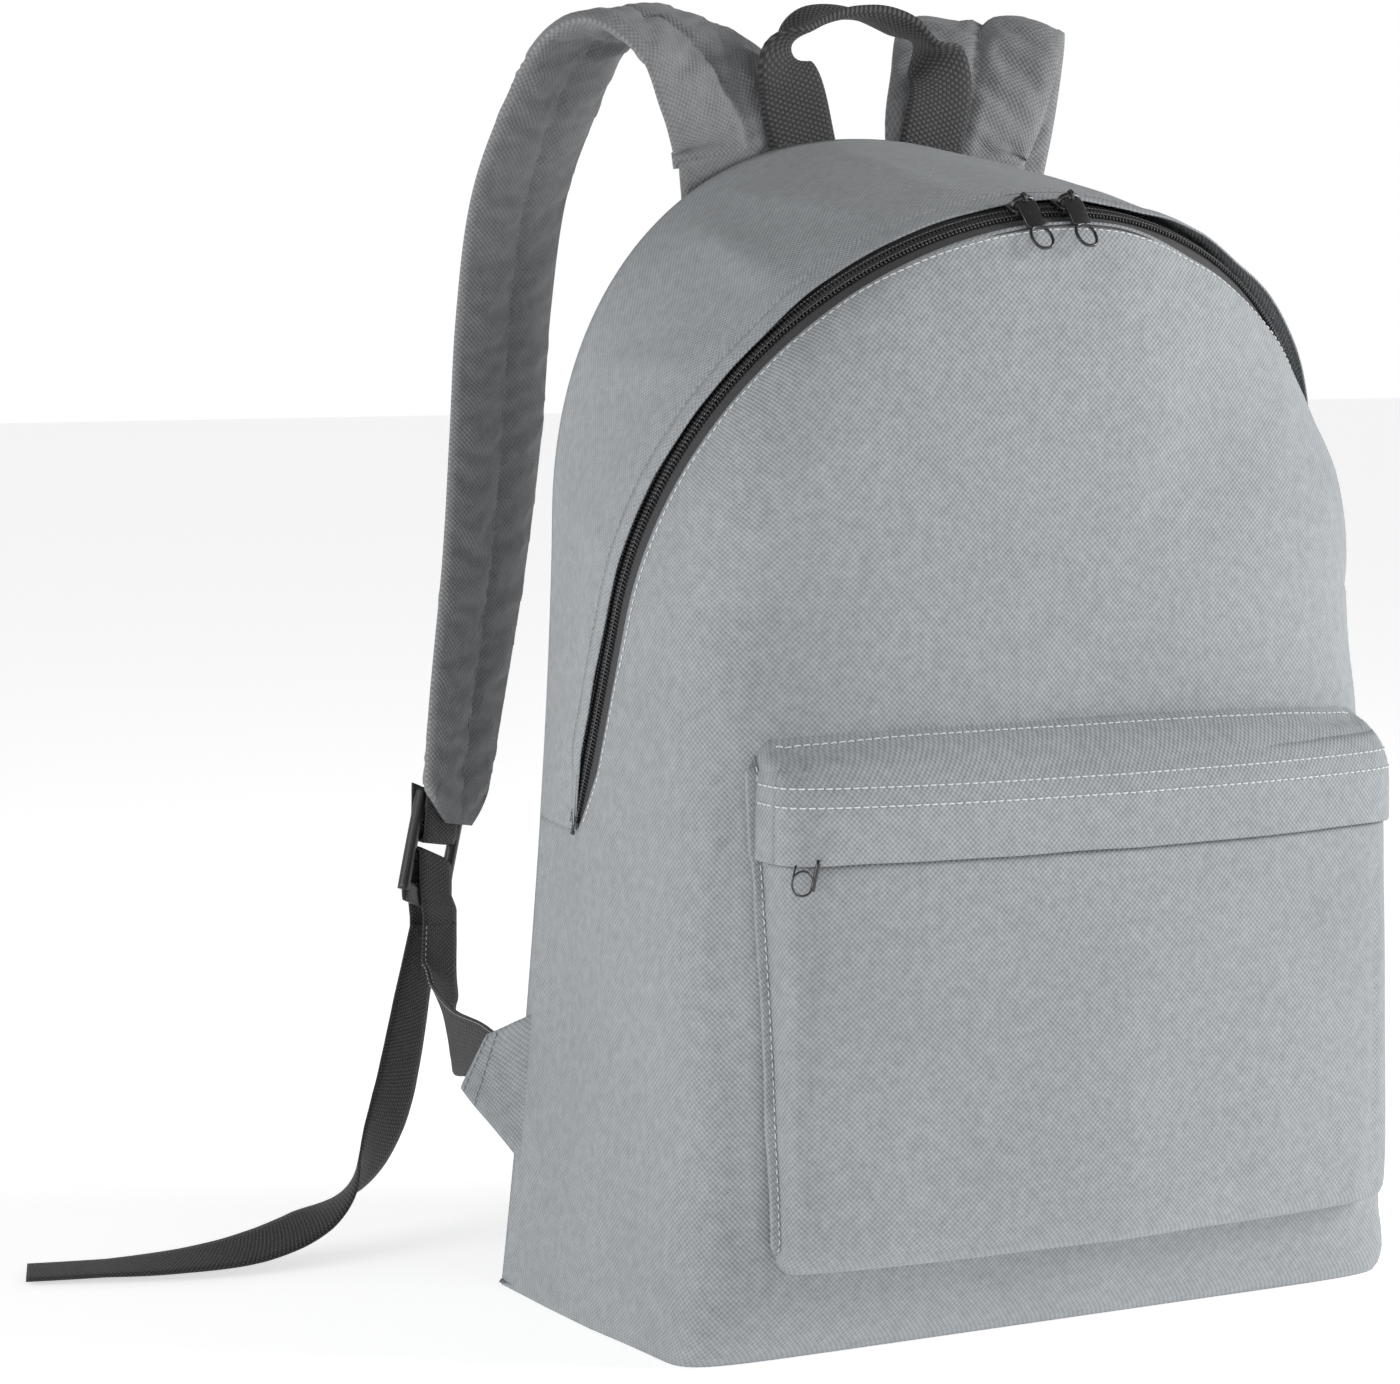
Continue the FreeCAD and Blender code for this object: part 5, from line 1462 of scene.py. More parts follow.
def make_pocket_zip():
    reach = POCKET_ZIP_REACH
    angles = np.linspace(-reach, reach, 160)
    grids = [np.array([[pocket_zip_point(a, side * h, -0.7) for h in (0.8, 3.0, 6.0, 10.5)] for a in angles])
             for side in (-1, 1)]
    mesh = grids_to_mesh("pocket_zip_tape", grids)
    obj = new_piece("pocket_zip_tape", mesh, "tape", "pack_body", ("pocket_zip_tapes",))
    thicken(obj, 0.5)
    shells = []
    count = int(2 * math.radians(reach) * POCKET_R / POCKET_COIL_PITCH)
    for side in (-1, 1):
        for i in range(count):
            a = -reach + (i + (0.5 if side > 0 else 0)) * 2 * reach / count
            heights = np.array([2.5, 2.3, 1.2, 0.0, -0.7, -0.9]) * side
            lifts = np.array([-0.6, 0.2, 0.5, 0.5, 0.3, -0.3])
            points = np.array([pocket_zip_point(a, h, l) for h, l in zip(heights, lifts)])
            shells.append(tube(points, np.array([0.34, 0.42, 0.42, 0.44, 0.5, 0.38]), 6))
    new_piece("pocket_zip_teeth", shells_to_mesh("pocket_zip_teeth", shells), "coil", "pack_body",
              ("pocket_zip_coils",))
    stop = rounded_plate(rounded_outline(0.9, 2.4, 0.5), -1.0, 1.3, 0.3)
    shells = [placed(stop, *pocket_zip_frame(angle, 0)) for angle in (-reach - 0.12, reach + 0.12)]
    new_piece("pocket_end_stops", shells_to_mesh("pocket_end_stops", shells), "metal", "pack_body",
              ("pocket_zip_stops",))
    frame_there = pocket_zip_frame(POCKET_SLIDER_ANGLE, -0.9)
    small = [placed(shell, *frame_there) for shell in slider_shells(0.58, 3.4, 1)]
    new_piece("pocket_zip_slider", shells_to_mesh("pocket_zip_slider", small), "metal", "pocket_slider",
              ("pocket_slider",))
    # a thin wire ring on a thick bar that hangs edge on, just below the flap
    pivot, along, outward, down = pocket_zip_frame(POCKET_SLIDER_ANGLE, 3.2)
    bar = [pivot + down * drop - along * drop * 0.22 for drop in np.linspace(0.5, 11.5, 7)]
    shells = [tube(bar, 0.95, 8)]
    ring = [pivot + down * 2.0 - along * 8.6]
    ring += [pivot + down * (8.6 - 4.4 * math.cos(t)) - along * (6.2 + 4.0 * math.sin(t)) + outward * 0.3
             for t in np.linspace(1.2, 2 * math.pi + 0.9, 30)]
    shells.append(tube(ring, 0.42, 8))
    new_piece("pocket_zip_pull", shells_to_mesh("pocket_zip_pull", shells), "metal", "pocket_pull",
              ("pocket_pull",))


# ---------------------------------------------------------------- straps, buckles and webbing
# routes of the soft parts: place, direction across the strip and, where it changes, the strip's width
STRAP_KEYS = [
    (-48.6, 81.6, 431, 1, 0, 0.2, 66), (-50, 84, 443, 1, 0.05, 0.2, 67), (-58, 89, 460, 1, 0.2, 0.15, 67),
    (-69, 99, 477, 1, 0.45, 0.1, 67), (-83, 116, 486, 1, 0.6, 0.05, 67), (-94, 132, 477, 1, 0.6, 0, 67),
    (-101, 148, 450, 1, 0.55, 0, 67), (-105, 165, 415, 1, 0.55, 0, 67), (-105, 177, 370, 1, 0.55, 0, 67),
    (-105, 183, 322, 1, 0.55, 0, 66), (-109, 185, 270, 1, 0.58, 0, 62), (-118, 183, 213, 1, 0.6, 0, 55),
    (-126, 180, 164, 1, 0.6, 0, 44)]
STRAP_ACROSS = unit((1, 0.6, 0))
STRAP_OUT = np.array([-STRAP_ACROSS[1], STRAP_ACROSS[0], 0])
DOWN = np.array([0, 0, -1.0])
BUCKLE_CENTRE = np.array([-130.5, 187.5, 151.0])
TAIL_START = BUCKLE_CENTRE + DOWN * 29.3 + STRAP_OUT * 3.15
LOWER_KEYS = [
    (*(BUCKLE_CENTRE + DOWN * 28.5 - STRAP_OUT * 3.15), 1, 0.6, 0, 25), (-130, 183, 105, 0.9, 0.5, -0.25, 25),
    (-132.5, 176, 98, 0.72, 0.38, -0.6, 25), (-137, 165, 90, 0.48, 0.23, -0.85, 25),
    (-147, 137, 84, 0.05, 0.2, -0.97, 25), (-154, 107, 86, -0.34, 0.18, -0.92, 22),
    (-158.6, 84.5, 87.5, -0.47, 0.16, -0.86, 18)]
LEFT_TAIL = [(*TAIL_START, 1, 0.6, 0), (-137, 190, 102, 1, 0.6, 0), (-146, 182, 76, 0.9, 0.5, 0),
             (-159, 169, 51, 0.85, 0.5, 0.1), (-179, 155, 29, 0.75, 0.6, 0.2), (-204, 145, 15, 0.5, 0.7, 0.3),
             (-231, 142, 8, 0.2, 0.9, 0.25), (-259, 147, 5, 0, 1, 0.1), (-287, 158, 3, -0.1, 1, 0),
             (-315, 170, 2, -0.2, 1, 0)]
RIGHT_TAIL = [(-TAIL_START[0], TAIL_START[1], TAIL_START[2], 1, -0.6, 0), (135, 194, 102, 1, -0.6, 0),
              (136, 199, 76, 1, -0.5, 0), (133, 206, 50, 1, -0.3, 0), (124, 214, 27, 0.9, 0.2, 0),
              (107, 221, 11, 0.7, 0.7, 0), (83, 224, 4, 0.3, 1, 0), (56, 222, 2, 0.1, 1, 0),
              (29, 215, 2, -0.2, 1, 0), (3, 205, 2, -0.3, 1, 0)]
HANDLE_WIDTH = 29
HANDLE_KEYS = [(-25.5, 77.5, 436, 1, 0, 0.1, 29), (-31.5, 78, 459, 1, 0, 0.15, 29),
               (-34, 79, 474, 0.9, 0.4, 0.5, 25), (-22, 80, 486, 0.3, 1, 0.4, 17), (-2, 80, 489, 0, 1, 0, 15),
               (17, 79.5, 485, -0.1, 1, -0.3, 17), (32, 79, 477, -0.6, 0.6, 0.6, 22),
               (38, 78, 462, -1, 0.1, 0.1, 28), (33, 77.5, 436, -1, 0, 0.1, 29)]
# where each tail's upper end stops following its strap, and where it begins to lie still
LEFT_TAIL_BLEND = (-165, 162, 46), (-132, 190, 112)
RIGHT_TAIL_BLEND = (130, 209, 42), (134, 192, 112)
SIGNS = {"left": np.array([1, 1, 1]), "right": np.array([-1, 1, 1])}      # mirrors a place for its side


def mirror_keys(keys):
    """The same route on the other side; the across direction keeps pointing the same way along X."""
    return [(-k[0], k[1], k[2], k[3], -k[4], -k[5], *k[6:]) for k in keys]


def route_normals(centres, across):
    """The across directions made square to the route, and the facing normals."""
    along = unit(np.gradient(centres, axis=0))
    across = unit(across - along * (across * along).sum(axis=1, keepdims=True))
    return across, np.cross(across, along)


def route_frames(keys, count):
    """Centres, across directions, facing normals and widths along a route."""
    line = smooth_curve(keys, count)
    return line[:, :3], *route_normals(line[:, :3], line[:, 3:6]), line[:, 6]


def closed_ring(shares, point):
    """Points round a flat strip's section, closed: point(share, face) along one face and back along the other."""
    ring = [point(share, face) for face in (1, -1) for share in shares[::face]]
    return ring + ring[:1]


def ring_shares(columns):
    """The share across the strip of each point of a closed ring."""
    shares = np.linspace(-1, 1, columns)
    return np.concatenate([shares, shares[::-1], shares[:1]])


def strip_uv(shares, half_width, along):
    """Cloth coordinates of a strip of rings."""
    return np.stack([np.tile(shares * half_width, (len(along), 1)),
                     np.tile(along[:, None], (1, len(shares)))], axis=2)


BAND_COLUMNS = 9


def band_grid(centres, across, normals, widths, wave=0.0, seed=0.0):
    """A closed strip of webbing with rounded edges: rows of points round its cross-section."""
    rows = []
    for i, (c, a, n, w) in enumerate(zip(centres, across, normals, widths)):
        def point(share, face):
            lift = WEBBING / 2 * (1 - 0.55 * abs(share) ** 8) * face
            ripple = wave * noise.noise(Vector((i / 9.0, share * 1.3 + seed, 3.0)))
            return c + a * share * w / 2 + n * (lift + ripple)
        rows.append(closed_ring(np.linspace(-1, 1, BAND_COLUMNS), point))
    return np.array(rows)


def band_piece(name, grid, centres, width, body, replaced=()):
    """A visible piece of webbing from its rows of points."""
    uv = strip_uv(ring_shares(BAND_COLUMNS), width / 2, distances(centres))
    mesh = grids_to_mesh(name, [grid], [uv])
    close_ends(mesh)
    return new_piece(name, mesh, "webbing", body, replaced)


STRAP_COLUMNS = 29
STRAP_HEM = 0.93          # the flat sewn edge begins at this share of the half-width


def strap_pad(side, keys):
    """A padded strap: two faces of cloth sewn along both edges, quilted down the middle, then inflated."""
    count = 170
    centres, across, normals, widths = route_frames(keys, count)
    shares = np.linspace(-1, 1, STRAP_COLUMNS)
    total = length_of(centres)
    at = np.linspace(0, total, count)
    rows, half_widths = [], []
    inner_side = SIGNS[side][0]
    for i in range(count):
        # the lower end narrows to one side, where it takes the webbing
        rest = min(1.0, (total - at[i]) / 17.0)
        w = widths[i] / 2 * (1 - 0.58 * (1 - rest) ** 1.8)
        shift = widths[i] / 2 * 0.24 * (1 - rest) ** 1.4 * inner_side
        half_widths.append(w)
        end = min(1.0, at[i] / 16.0 + 0.2, (total - at[i]) / 22.0 + 0.30)

        def point(share, face):
            middle = 1 - 0.50 * fold(share, 0.085)
            edge = max(0.0, 1 - abs(share) ** 3.4) ** 0.62
            lift = 0.75 if abs(share) > STRAP_HEM else 0.7 + 3.9 * edge * middle * end
            return centres[i] + across[i] * (share * w + shift) + normals[i] * lift * face
        rows.append(closed_ring(shares, point))
    rows = np.array(rows)
    seed = 11.0 if side == "left" else 31.0
    columns = rows.shape[1]
    share_row = ring_shares(STRAP_COLUMNS)
    face_row = np.concatenate([np.ones(STRAP_COLUMNS), -np.ones(STRAP_COLUMNS), [1]])
    inner = band(np.abs(share_row), STRAP_HEM, STRAP_HEM - 0.12)
    # cross wrinkles: deep where the strap turns over at the top, faint further down
    depth = 0.75 + 1.9 * fold(at - 70, 36) + 0.9 * fold(at - 135, 45) + 0.5 * band(at, total - 60, total)
    ripple = np.zeros(rows.shape[:2])
    for i in range(count):
        for j in range(columns):
            lean = abs(share_row[j]) * 9.0
            value = noise.noise(Vector(((at[i] + lean) / 8.5, share_row[j] * 1.1 + seed, face_row[j] * 3.0)))
            fine = noise.noise(Vector((at[i] / 4.2, share_row[j] * 2.2 + seed, face_row[j] * 7.0)))
            ripple[i, j] = depth[i] * (value * 0.95 + 0.4 * fine) * inner[j]
    facing = normals[:, None, :] * face_row[None, :, None]
    rows = rows + facing * ripple[:, :, None]
    rows[:, -1] = rows[:, 0]
    mesh = grids_to_mesh(f"strap_{side}_pad", [rows], [strip_uv(share_row, 33.0, at)])
    close_ends(mesh)
    # the strap is made of the darkened cloth: painted shade
    obj = new_piece(f"strap_{side}_pad", mesh, "strap_shaded_cloth", None)
    return obj, centres, across, normals, np.array(half_widths) * 2, at


def joined(first, second, side, start, end):
    return first, second, tuple(np.array(start) * SIGNS[side] * MM), tuple(np.array(end) * SIGNS[side] * MM)


STRAP_ROOT_BLEND = (-48, 80, 436), (-52, 104, 440)
LOWER_WEBBING_BLEND = (-165, 92, 80), (-150, 134, 82)


def make_strap(side):
    """A strap's pad, inflated, with its edge and middle stitches on both faces."""
    keys = STRAP_KEYS if side == "left" else mirror_keys(STRAP_KEYS)
    obj, centres, across, normals, widths, at = strap_pad(side, keys)
    places = np.array([v.co for v in obj.data.vertices]) / MM
    pinned = []
    for index, place in enumerate(places):
        k = int(np.argmin(((centres - place) ** 2).sum(axis=1)))
        share = abs((place - centres[k]) @ across[k]) / (widths[k] / 2)
        if share > 0.90 or share < 0.035 or at[k] < 5 or at[k] > at[-1] - 8:
            pinned.append(index)
    simulate(obj, pinned, 2.2, shrink=-0.03, cap=2.4)
    blend = joined("pack_body", f"strap_{side}", side, *STRAP_ROOT_BLEND)
    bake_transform(obj)
    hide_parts(f"strap_{side}_cover", f"strap_{side}_foam", f"strap_{side}_backing")
    runs = []
    inside = slice(6, len(centres) - 5)
    for face in (1, -1):
        for share, lift in ((-0.90, 1.1), (0.0, 2.35), (0.90, 1.1)):
            path = centres[inside] + across[inside] * (share * widths[inside] / 2)[:, None] \
                + normals[inside] * (lift * face)
            runs.append((path, normals[inside] * face))
    stitch_piece(f"strap_{side}_stitches", runs, blend, "stitch_grey", pitch=3.6, share=0.68, radius=0.24,
                 lift=0.1)


def make_anchor(side):
    """The strap's sewn end on the back panel, with its lines of stitches."""
    sign = SIGNS[side]
    low, high = np.array([-46.5, 80.2, 418.0]), np.array([-49.3, 81.2, 436.0])
    way = unit(high - low)
    across = unit(np.array([1, 0, 0.2]) - way * (np.array([1, 0, 0.2]) @ way))
    facing = np.cross(across, way)
    facing = facing if facing[1] > 0 else -facing
    rows = []
    for t in np.linspace(0, 1, 10):
        def point(share, face):
            ripple = 0.3 * noise.noise(Vector((t * 4, share * 4, sign[0])))
            lift = face * 1.5 * (1 - 0.6 * abs(share) ** 6) + ripple
            return low + (high - low) * t + across * share * (32.5 - 1.5 * t) + facing * lift
        rows.append(closed_ring(np.linspace(-1, 1, 19), point))
    mesh = grids_to_mesh(f"strap_{side}_root", [np.array(rows) * sign])
    close_ends(mesh)
    # the darkened strap cloth again: painted shade
    new_piece(f"strap_{side}_root", mesh, "strap_shaded_cloth", "pack_body",
              (f"strap_{side}_anchor",))
    runs = []
    for t in (0.12, 0.45):
        path = np.array([low + (high - low) * t + across * x + facing * 1.7
                         for x in np.linspace(-30, 30, 40)])
        runs.append((path * sign, np.tile(facing * sign, (40, 1))))
    stitch_piece(f"strap_{side}_root_stitches", runs, "pack_body", "stitch_grey", pitch=3.2, share=0.7,
                 radius=0.25)


def loop_points(bar, way, outer_leg, inner_leg, lean=0.0):
    """Webbing folded round a bar: down one face and up the other, the inner end leaning in by lean."""
    reach = 2.0 + 0.35 + WEBBING / 2
    points = [bar + STRAP_OUT * reach + DOWN * down * way for down in np.linspace(outer_leg, 1.5, 6)]
    for turn in np.linspace(0, math.pi, 9)[1:-1]:
        points.append(bar + STRAP_OUT * reach * math.cos(turn) - DOWN * way * reach * math.sin(turn))
    for down in np.linspace(1.5, inner_leg, 6):
        points.append(bar - STRAP_OUT * (reach + lean * down / inner_leg) + DOWN * down * way)
    return points


def strip_along(name, points, across, body, replaced, side, count=60):
    """A strip of webbing through the left side's points, each with its direction across, drawn on its side."""
    points = np.asarray(points, float)
    shares = np.linspace(0, 1, count)
    rows = resample(points, shares)
    step = distances(points)
    across = unit(np.stack([np.interp(shares * step[-1], step, [a[k] for a in across])
                            for k in range(3)], axis=1))
    normals = unit(np.cross(across, unit(np.gradient(rows, axis=0))))
    grid = band_grid(rows, across, normals, np.full(count, WEBBING_WIDTH), 0.12, 2.0)
    band_piece(name, grid * SIGNS[side], rows, WEBBING_WIDTH, body, replaced)


def rounded_bar(places, point):
    """A bar with rounded edges: a ring at each place along it, from point(place, cosine, sine)."""
    rows = []
    for place in places:
        ring = [point(place, math.cos(t), math.sin(t))
                for t in np.linspace(0, 2 * math.pi, 16, endpoint=False)]
        rows.append(ring + ring[:1])
    return grid_shell(np.array(rows))


def squared(value, power):
    """A circle's cosine or sine, pressed towards a square's."""
    return math.copysign(abs(value) ** power, value)


RAIL_X, RAIL_TOP, RAIL_FOOT = 15.4, -22.0, 20.0
# the cross bars: half-length, place down the buckle, half-height and half-thickness
BUCKLE_BARS = ((15.6, -20.2, 1.9, 1.9), (15.0, -6.2, 1.8, 1.9), (15.0, 4.8, 1.8, 1.9), (15.8, 17.5, 1.9, 1.8))
RAIL_BOW = 0.2
# the thumb lip's sections: place down the buckle, how far outward, half-thickness
THUMB_LIP = ((16.5, 0.0, 1.7), (19, 0.1, 1.6), (21.2, 0.3, 1.4), (23.4, 0.5, 1.1), (24.0, 0.5, 0.6))


def buckle_shells():
    """A ladder lock in its own axes: X across, Y outward, Z down; two rails, four bars and a thumb lip."""
    shells = []
    middle, half = (RAIL_TOP + RAIL_FOOT) / 2, (RAIL_FOOT - RAIL_TOP) / 2
    for x in (-RAIL_X, RAIL_X):
        shells.append(rounded_bar(np.linspace(RAIL_TOP, RAIL_FOOT, 26), lambda z, c, s: (
            x + 2.4 * squared(c, 0.7),
            RAIL_BOW * (0.5 - ((z - middle) / half) ** 2) + 2.2 * squared(s, 0.7), z)))
    for half_x, z, half_z, half_y in BUCKLE_BARS:
        shells.append(rounded_bar(np.linspace(-half_x, half_x, 18), lambda x, c, s: (
            x, half_y * squared(s, 0.8), z + half_z * squared(c, 0.8))))
    lip = []
    for z, y, thick in THUMB_LIP:
        ring = []
        width = 16.4 - 0.14 * max(0, z - 17) ** 1.6
        for t in np.linspace(0, 2 * math.pi, 36, endpoint=False):
            c, s = math.cos(t), math.sin(t)
            ring.append((width * squared(c, 0.35), y + thick * squared(s, 0.8), z))
        lip.append(ring + ring[:1])
    shells.append(grid_shell(np.array(lip)))
    return shells


def grid_shell(grid):
    """A closed shell from rows of rings, capped at both ends."""
    rows, columns = grid.shape[:2]
    vertices = grid[:, :-1].reshape(-1, 3)
    columns -= 1
    faces = []
    for i in range(rows - 1):
        for j in range(columns):
            k = (j + 1) % columns
            faces.append((i * columns + j, i * columns + k, (i + 1) * columns + k, (i + 1) * columns + j))
    faces.append(tuple(range(columns))[::-1])
    faces.append(tuple((rows - 1) * columns + j for j in range(columns)))
    return vertices, faces


BUCKLE_LEAN = math.radians(20)     # the buckle hangs askew in its own plane
LEAN_ACROSS = STRAP_ACROSS * math.cos(BUCKLE_LEAN) + DOWN * math.sin(BUCKLE_LEAN)
LEAN_DOWN = DOWN * math.cos(BUCKLE_LEAN) - STRAP_ACROSS * math.sin(BUCKLE_LEAN)
TOP_BAR = BUCKLE_CENTRE - DOWN * 21.7 + np.array([2.4, -1.4, 0])
LOOP_BAR = TOP_BAR + LEAN_DOWN * 14.0
MIDDLE_BAR = TOP_BAR + LEAN_DOWN * 25.0


def make_buckle(side):
    shells = []
    centre = TOP_BAR - LEAN_DOWN * BUCKLE_BARS[0][1]
    for shell in buckle_shells():
        moved, faces = placed(shell, centre, LEAN_ACROSS, STRAP_OUT, LEAN_DOWN)
        shells.append((moved * SIGNS[side], faces))
    mesh = shells_to_mesh(f"buckle_{side}_lock", shells)
    with editing(mesh) as bm:
        bmesh.ops.recalc_face_normals(bm, faces=bm.faces)
    new_piece(f"buckle_{side}_lock", mesh, "plastic", f"buckle_{side}",
              (f"strap_{side}_buckle",))


def edge_line(name, centres, across, normals, widths, rides):
    """The pale selvedge thread along one edge of a webbing, on both faces."""
    path = centres - across * (widths / 2 - 1.1)[:, None]
    runs = [(path + normals * (0.5 * face), normals * face) for face in (1, -1)]
    stitch_piece(name, runs, rides, "stitch_grey", slot="webbing", pitch=2.2, share=0.55, radius=0.2,
                 lift=0.3)


def make_webbing(side):
    """The webbing at the buckle: its top loop, the one round the middle bar and the strip to the bag's side."""
    strap, buckle = f"strap_{side}", f"buckle_{side}"
    top = loop_points(LOOP_BAR, -1, 18.0, 29.0, 2.0)
    lean = np.linspace(0, 1, len(top))[:, None]
    strip_along(f"strap_{side}_top_loop", top, LEAN_ACROSS * (1 - lean) + STRAP_ACROSS * lean,
                joined(strap, buckle, side, TOP_BAR - DOWN * 7, LOOP_BAR - DOWN * 3),
                (f"strap_{side}_buckle_loop",), side)
    # round the middle bar, then down to where the tail and the lower webbing part
    ends = [BUCKLE_CENTRE + DOWN * 30.5 + STRAP_OUT * 3.15 * k for k in (1, -1)]
    middle = [ends[0], ends[0] - DOWN * 6, *loop_points(MIDDLE_BAR, 1, 11.0, 11.0), ends[1] - DOWN * 6, ends[1]]
    across = [STRAP_ACROSS] * 2 + [LEAN_ACROSS] * (len(middle) - 4) + [STRAP_ACROSS] * 2
    strip_along(f"strap_{side}_middle_loop", middle, across,
                joined(strap, buckle, side, BUCKLE_CENTRE + DOWN * 29, BUCKLE_CENTRE),
                (f"strap_{side}_adjuster_loop",), side, 90)
    keys = LOWER_KEYS if side == "left" else mirror_keys(LOWER_KEYS)
    blend = joined("pack_body", strap, side, *LOWER_WEBBING_BLEND)
    centres, across, normals, widths = route_frames(keys, 110)
    band_piece(f"strap_{side}_lower_strip", band_grid(centres, across, normals, widths, 0.3), centres,
               float(np.mean(widths)), blend, (f"strap_{side}_lower_webbing",))
    edge_line(f"strap_{side}_lower_edge", centres, across, normals, widths, blend)
    make_tab(side)


WING_WAY = np.array([-13.0, 19.5, 4.0])      # roughly from the wing's root to its tip
WING_COLUMNS = 17


def make_tab(side):
    """The cloth wing in the side seam that takes the lower webbing: wide at the bag, narrow at the webbing."""
    sign = SIGNS[side]
    rows = []
    for t in np.linspace(0, 1, 22):
        eased = t ** 0.9
        c = np.array([-148.4 - 17.1 * eased, 68.5 + 15.5 * eased, 76.0 + 10.5 * eased])
        width = 62 - 39.0 * (t ** 0.85)
        up = unit(np.array([0.087 * (1 - t) + 0.5 * t ** 2, -0.1 * t, 1.0]))
        outward = unit(np.cross(up, WING_WAY))
        if outward[0] > 0:
            outward = -outward

        def point(share, face):
            pucker = 0.7 * noise.noise(Vector((t * 2.5, share * 3.0, 4.0))) * math.sin(math.pi * t)
            return c + up * share * width / 2 + outward * (1.1 * face * (1 - 0.5 * abs(share) ** 8) + pucker)
        rows.append(closed_ring(np.linspace(-1, 1, WING_COLUMNS), point))
    grid = np.array(rows) * sign
    mesh = grids_to_mesh(f"strap_{side}_wing", [grid])
    close_ends(mesh)
    new_piece(f"strap_{side}_wing", mesh, "cloth", "pack_body", (f"strap_{side}_tab",))
    runs = []
    for row in (-2, -6):
        path = np.array(rows[row][:WING_COLUMNS])
        n = unit(np.cross(path[-1] - path[0], WING_WAY))
        n = n if n[0] < 0 else -n
        for face, lift in ((1, 0.2), (-1, -2.4)):
            runs.append(((path + n * lift) * sign, np.tile(n * face * sign, (WING_COLUMNS, 1))))
    stitch_piece(f"strap_{side}_wing_stitches", runs, "pack_body", "stitch_grey", pitch=3.0, share=0.7,
                 radius=0.24)


def nurbs_points(keys):
    """Points read from a smooth NURBS line with the route's points as its control points, in millimetres."""
    curve = bpy.data.curves.new("route", "CURVE")
    curve.dimensions = "3D"
    curve.resolution_u = 24
    spline = curve.splines.new("NURBS")
    spline.points.add(len(keys) - 1)
    for point, key in zip(spline.points, keys):
        point.co = (key[0] * MM, key[1] * MM, key[2] * MM, 1)
    spline.order_u = 3
    spline.use_endpoint_u = True
    obj = bpy.data.objects.new("route", curve)
    bpy.context.collection.objects.link(obj)
    bpy.context.view_layer.update()
    mesh = bpy.data.meshes.new_from_object(obj)
    points = np.array([v.co for v in mesh.vertices]) / MM
    bpy.data.objects.remove(obj)
    bpy.data.curves.remove(curve)
    bpy.data.meshes.remove(mesh)
    return points


FLOOR_GAP = 0.15


def make_tail(side):
    """The loose end of the adjuster webbing, lying on the floor."""
    keys, (start, end) = (LEFT_TAIL, LEFT_TAIL_BLEND) if side == "left" else (RIGHT_TAIL, RIGHT_TAIL_BLEND)
    line = nurbs_points(keys)
    count = 150
    centres = resample(line, np.linspace(0, 1, count))
    step = distances(np.array(keys)[:, :3])
    place = np.linspace(0, step[-1], count)
    across = np.stack([np.interp(place, step, [unit(k[3:6])[i] for k in keys]) for i in range(3)], axis=1)
    across, normals = route_normals(centres, across)
    grid = band_grid(centres, across, normals, np.full(count, WEBBING_WIDTH))
    grid[:, :, 2] = np.maximum(grid[:, :, 2], FLOOR_GAP)
    obj = band_piece(f"strap_{side}_loose_end", grid, centres, WEBBING_WIDTH, None)
    tuple(np.array(start) * MM)
    tuple(np.array(end) * MM)
    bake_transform(obj)
    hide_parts(f"strap_{side}_tail", f"strap_{side}_tail_end")
    tuple(np.array(keys[0][:3]) * MM)
    round(length_of(line) * MM, 4)


HANDLE_COLUMNS = 15
HANDLE_THICKNESS = 2.4
FOOT_LOW, FOOT_HIGH = 424, 438.5
FOOT_PLACES = (-26, 33)


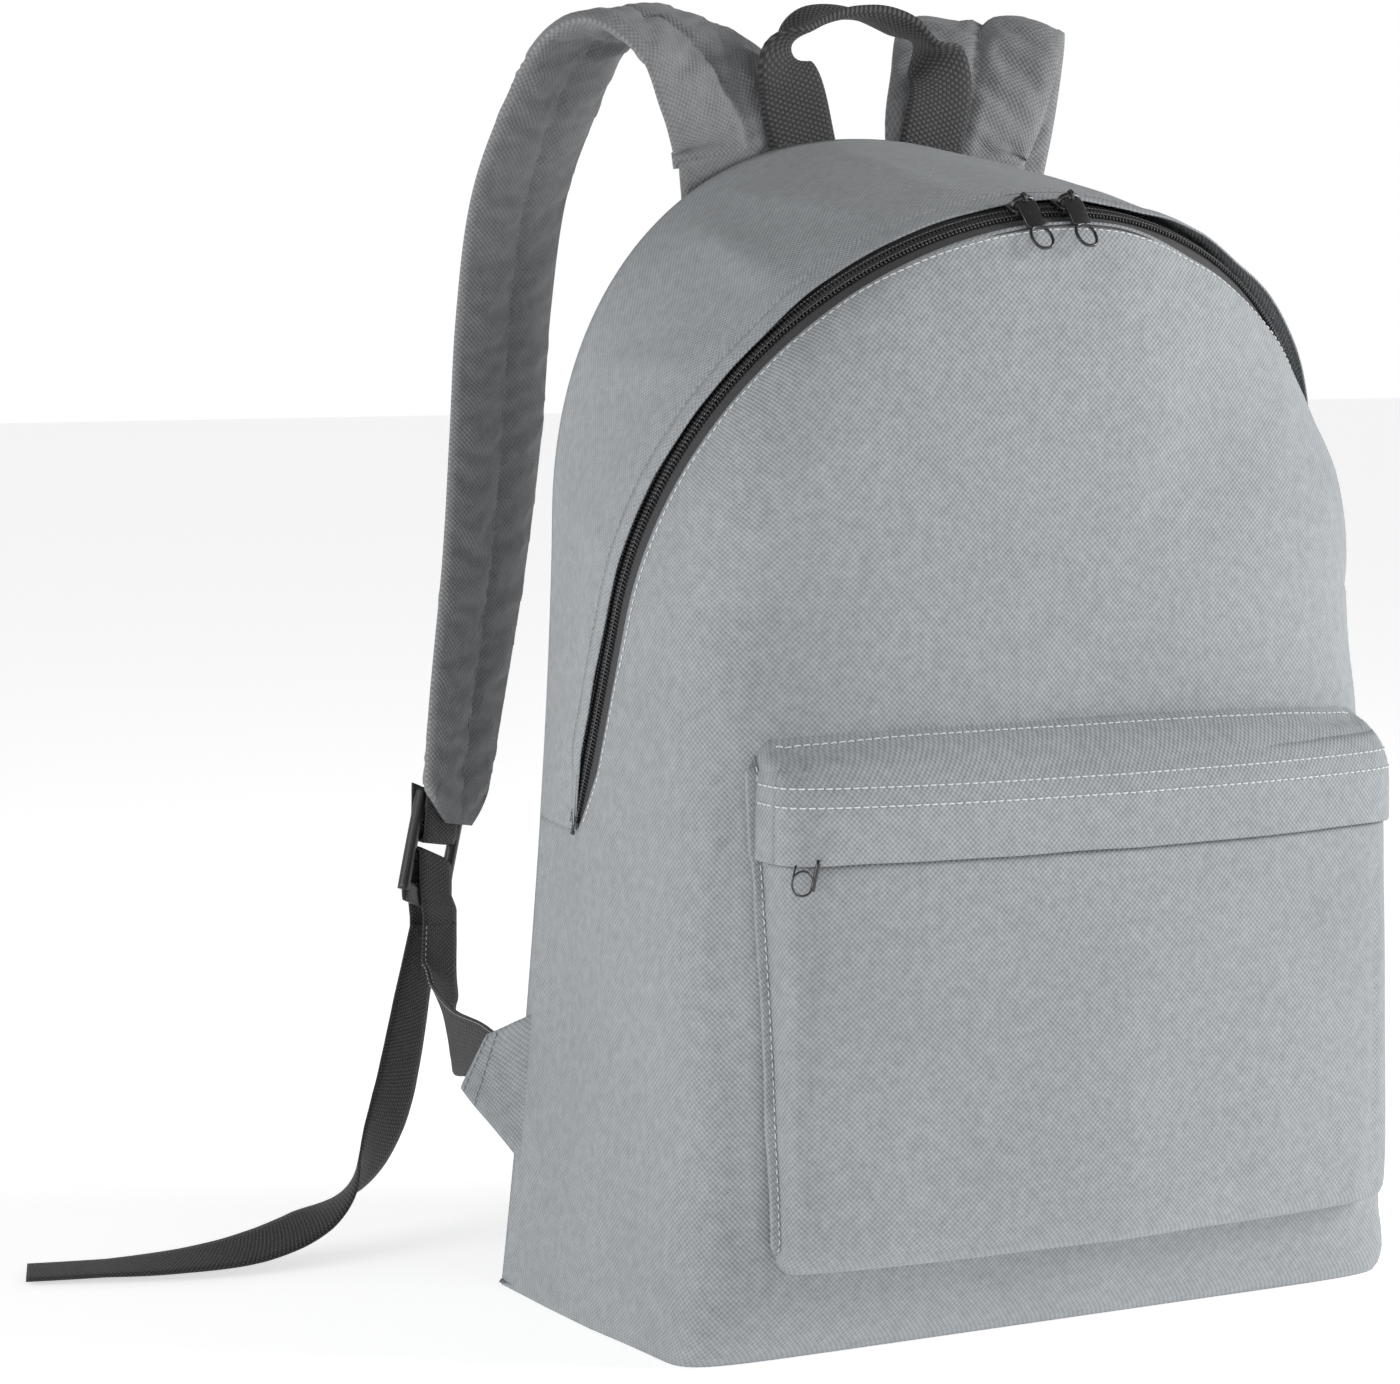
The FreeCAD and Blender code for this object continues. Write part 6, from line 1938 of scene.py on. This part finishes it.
def make_handle():
    """The grab handle, one webbing loop, and its two sewn feet, which run down behind the top edge."""
    centres, across, normals, widths = route_frames(HANDLE_KEYS, 110)
    columns = np.linspace(-1, 1, HANDLE_COLUMNS)
    grid = []
    for i in range(len(centres)):
        narrow = 1 - widths[i] / HANDLE_WIDTH

        def point(share, face):
            # where it narrows the webbing is folded in on itself, so it is thicker and rolled at its edges
            fullness = HANDLE_THICKNESS / 2 + 2.0 * narrow * (0.4 + abs(share) ** 2)
            lift = face * fullness * (1 - 0.5 * abs(share) ** 8)
            ripple = 0.3 * noise.noise(Vector((i / 8.0, share * 1.5, 5.0)))
            cup = 5.5 * narrow * share * share
            return centres[i] + across[i] * share * widths[i] / 2 + normals[i] * (lift + ripple - cup)
        grid.append(closed_ring(columns, point))
    shares = ring_shares(HANDLE_COLUMNS)
    uv = strip_uv(shares, HANDLE_WIDTH / 2, distances(centres))
    mesh = grids_to_mesh("carry_handle", [np.array(grid)], [uv])
    close_ends(mesh)
    new_piece("carry_handle", mesh, "handle_webbing", "grab_handle", ("grab_handle",))
    heights = np.linspace(FOOT_LOW, FOOT_HIGH, 10)
    feet = [np.array([closed_ring(columns, lambda share, face: (
        x + share * HANDLE_WIDTH / 2, BACK_Y + 1.5 + face * HANDLE_THICKNESS / 2, z)) for z in heights])
        for x in FOOT_PLACES]
    mesh = grids_to_mesh("handle_feet", feet, [strip_uv(shares, HANDLE_WIDTH / 2, heights - FOOT_LOW)] * 2)
    close_ends(mesh)
    new_piece("handle_feet", mesh, "handle_webbing", "pack_body", ("handle_anchors",))


# ---------------------------------------------------------------- everything
add_camera()
make_materials()
for tail_side in ("left", "right"):
    make_tail(tail_side)
add_studio()
front = make_front()
make_gusset()
make_base(front)
make_back()
make_main_zip()
make_main_sliders()
stitch_piece("front_edge_stitches", [front_edge_run(front)], COVER_BLEND, "thread", pitch=3.3, share=0.7,
             radius=0.25, lift=0.2)
make_flap(*make_pocket())
make_pocket_zip()
for strap_side in ("left", "right"):
    make_strap(strap_side)
    make_anchor(strap_side)
    make_buckle(strap_side)
    make_webbing(strap_side)
make_handle()
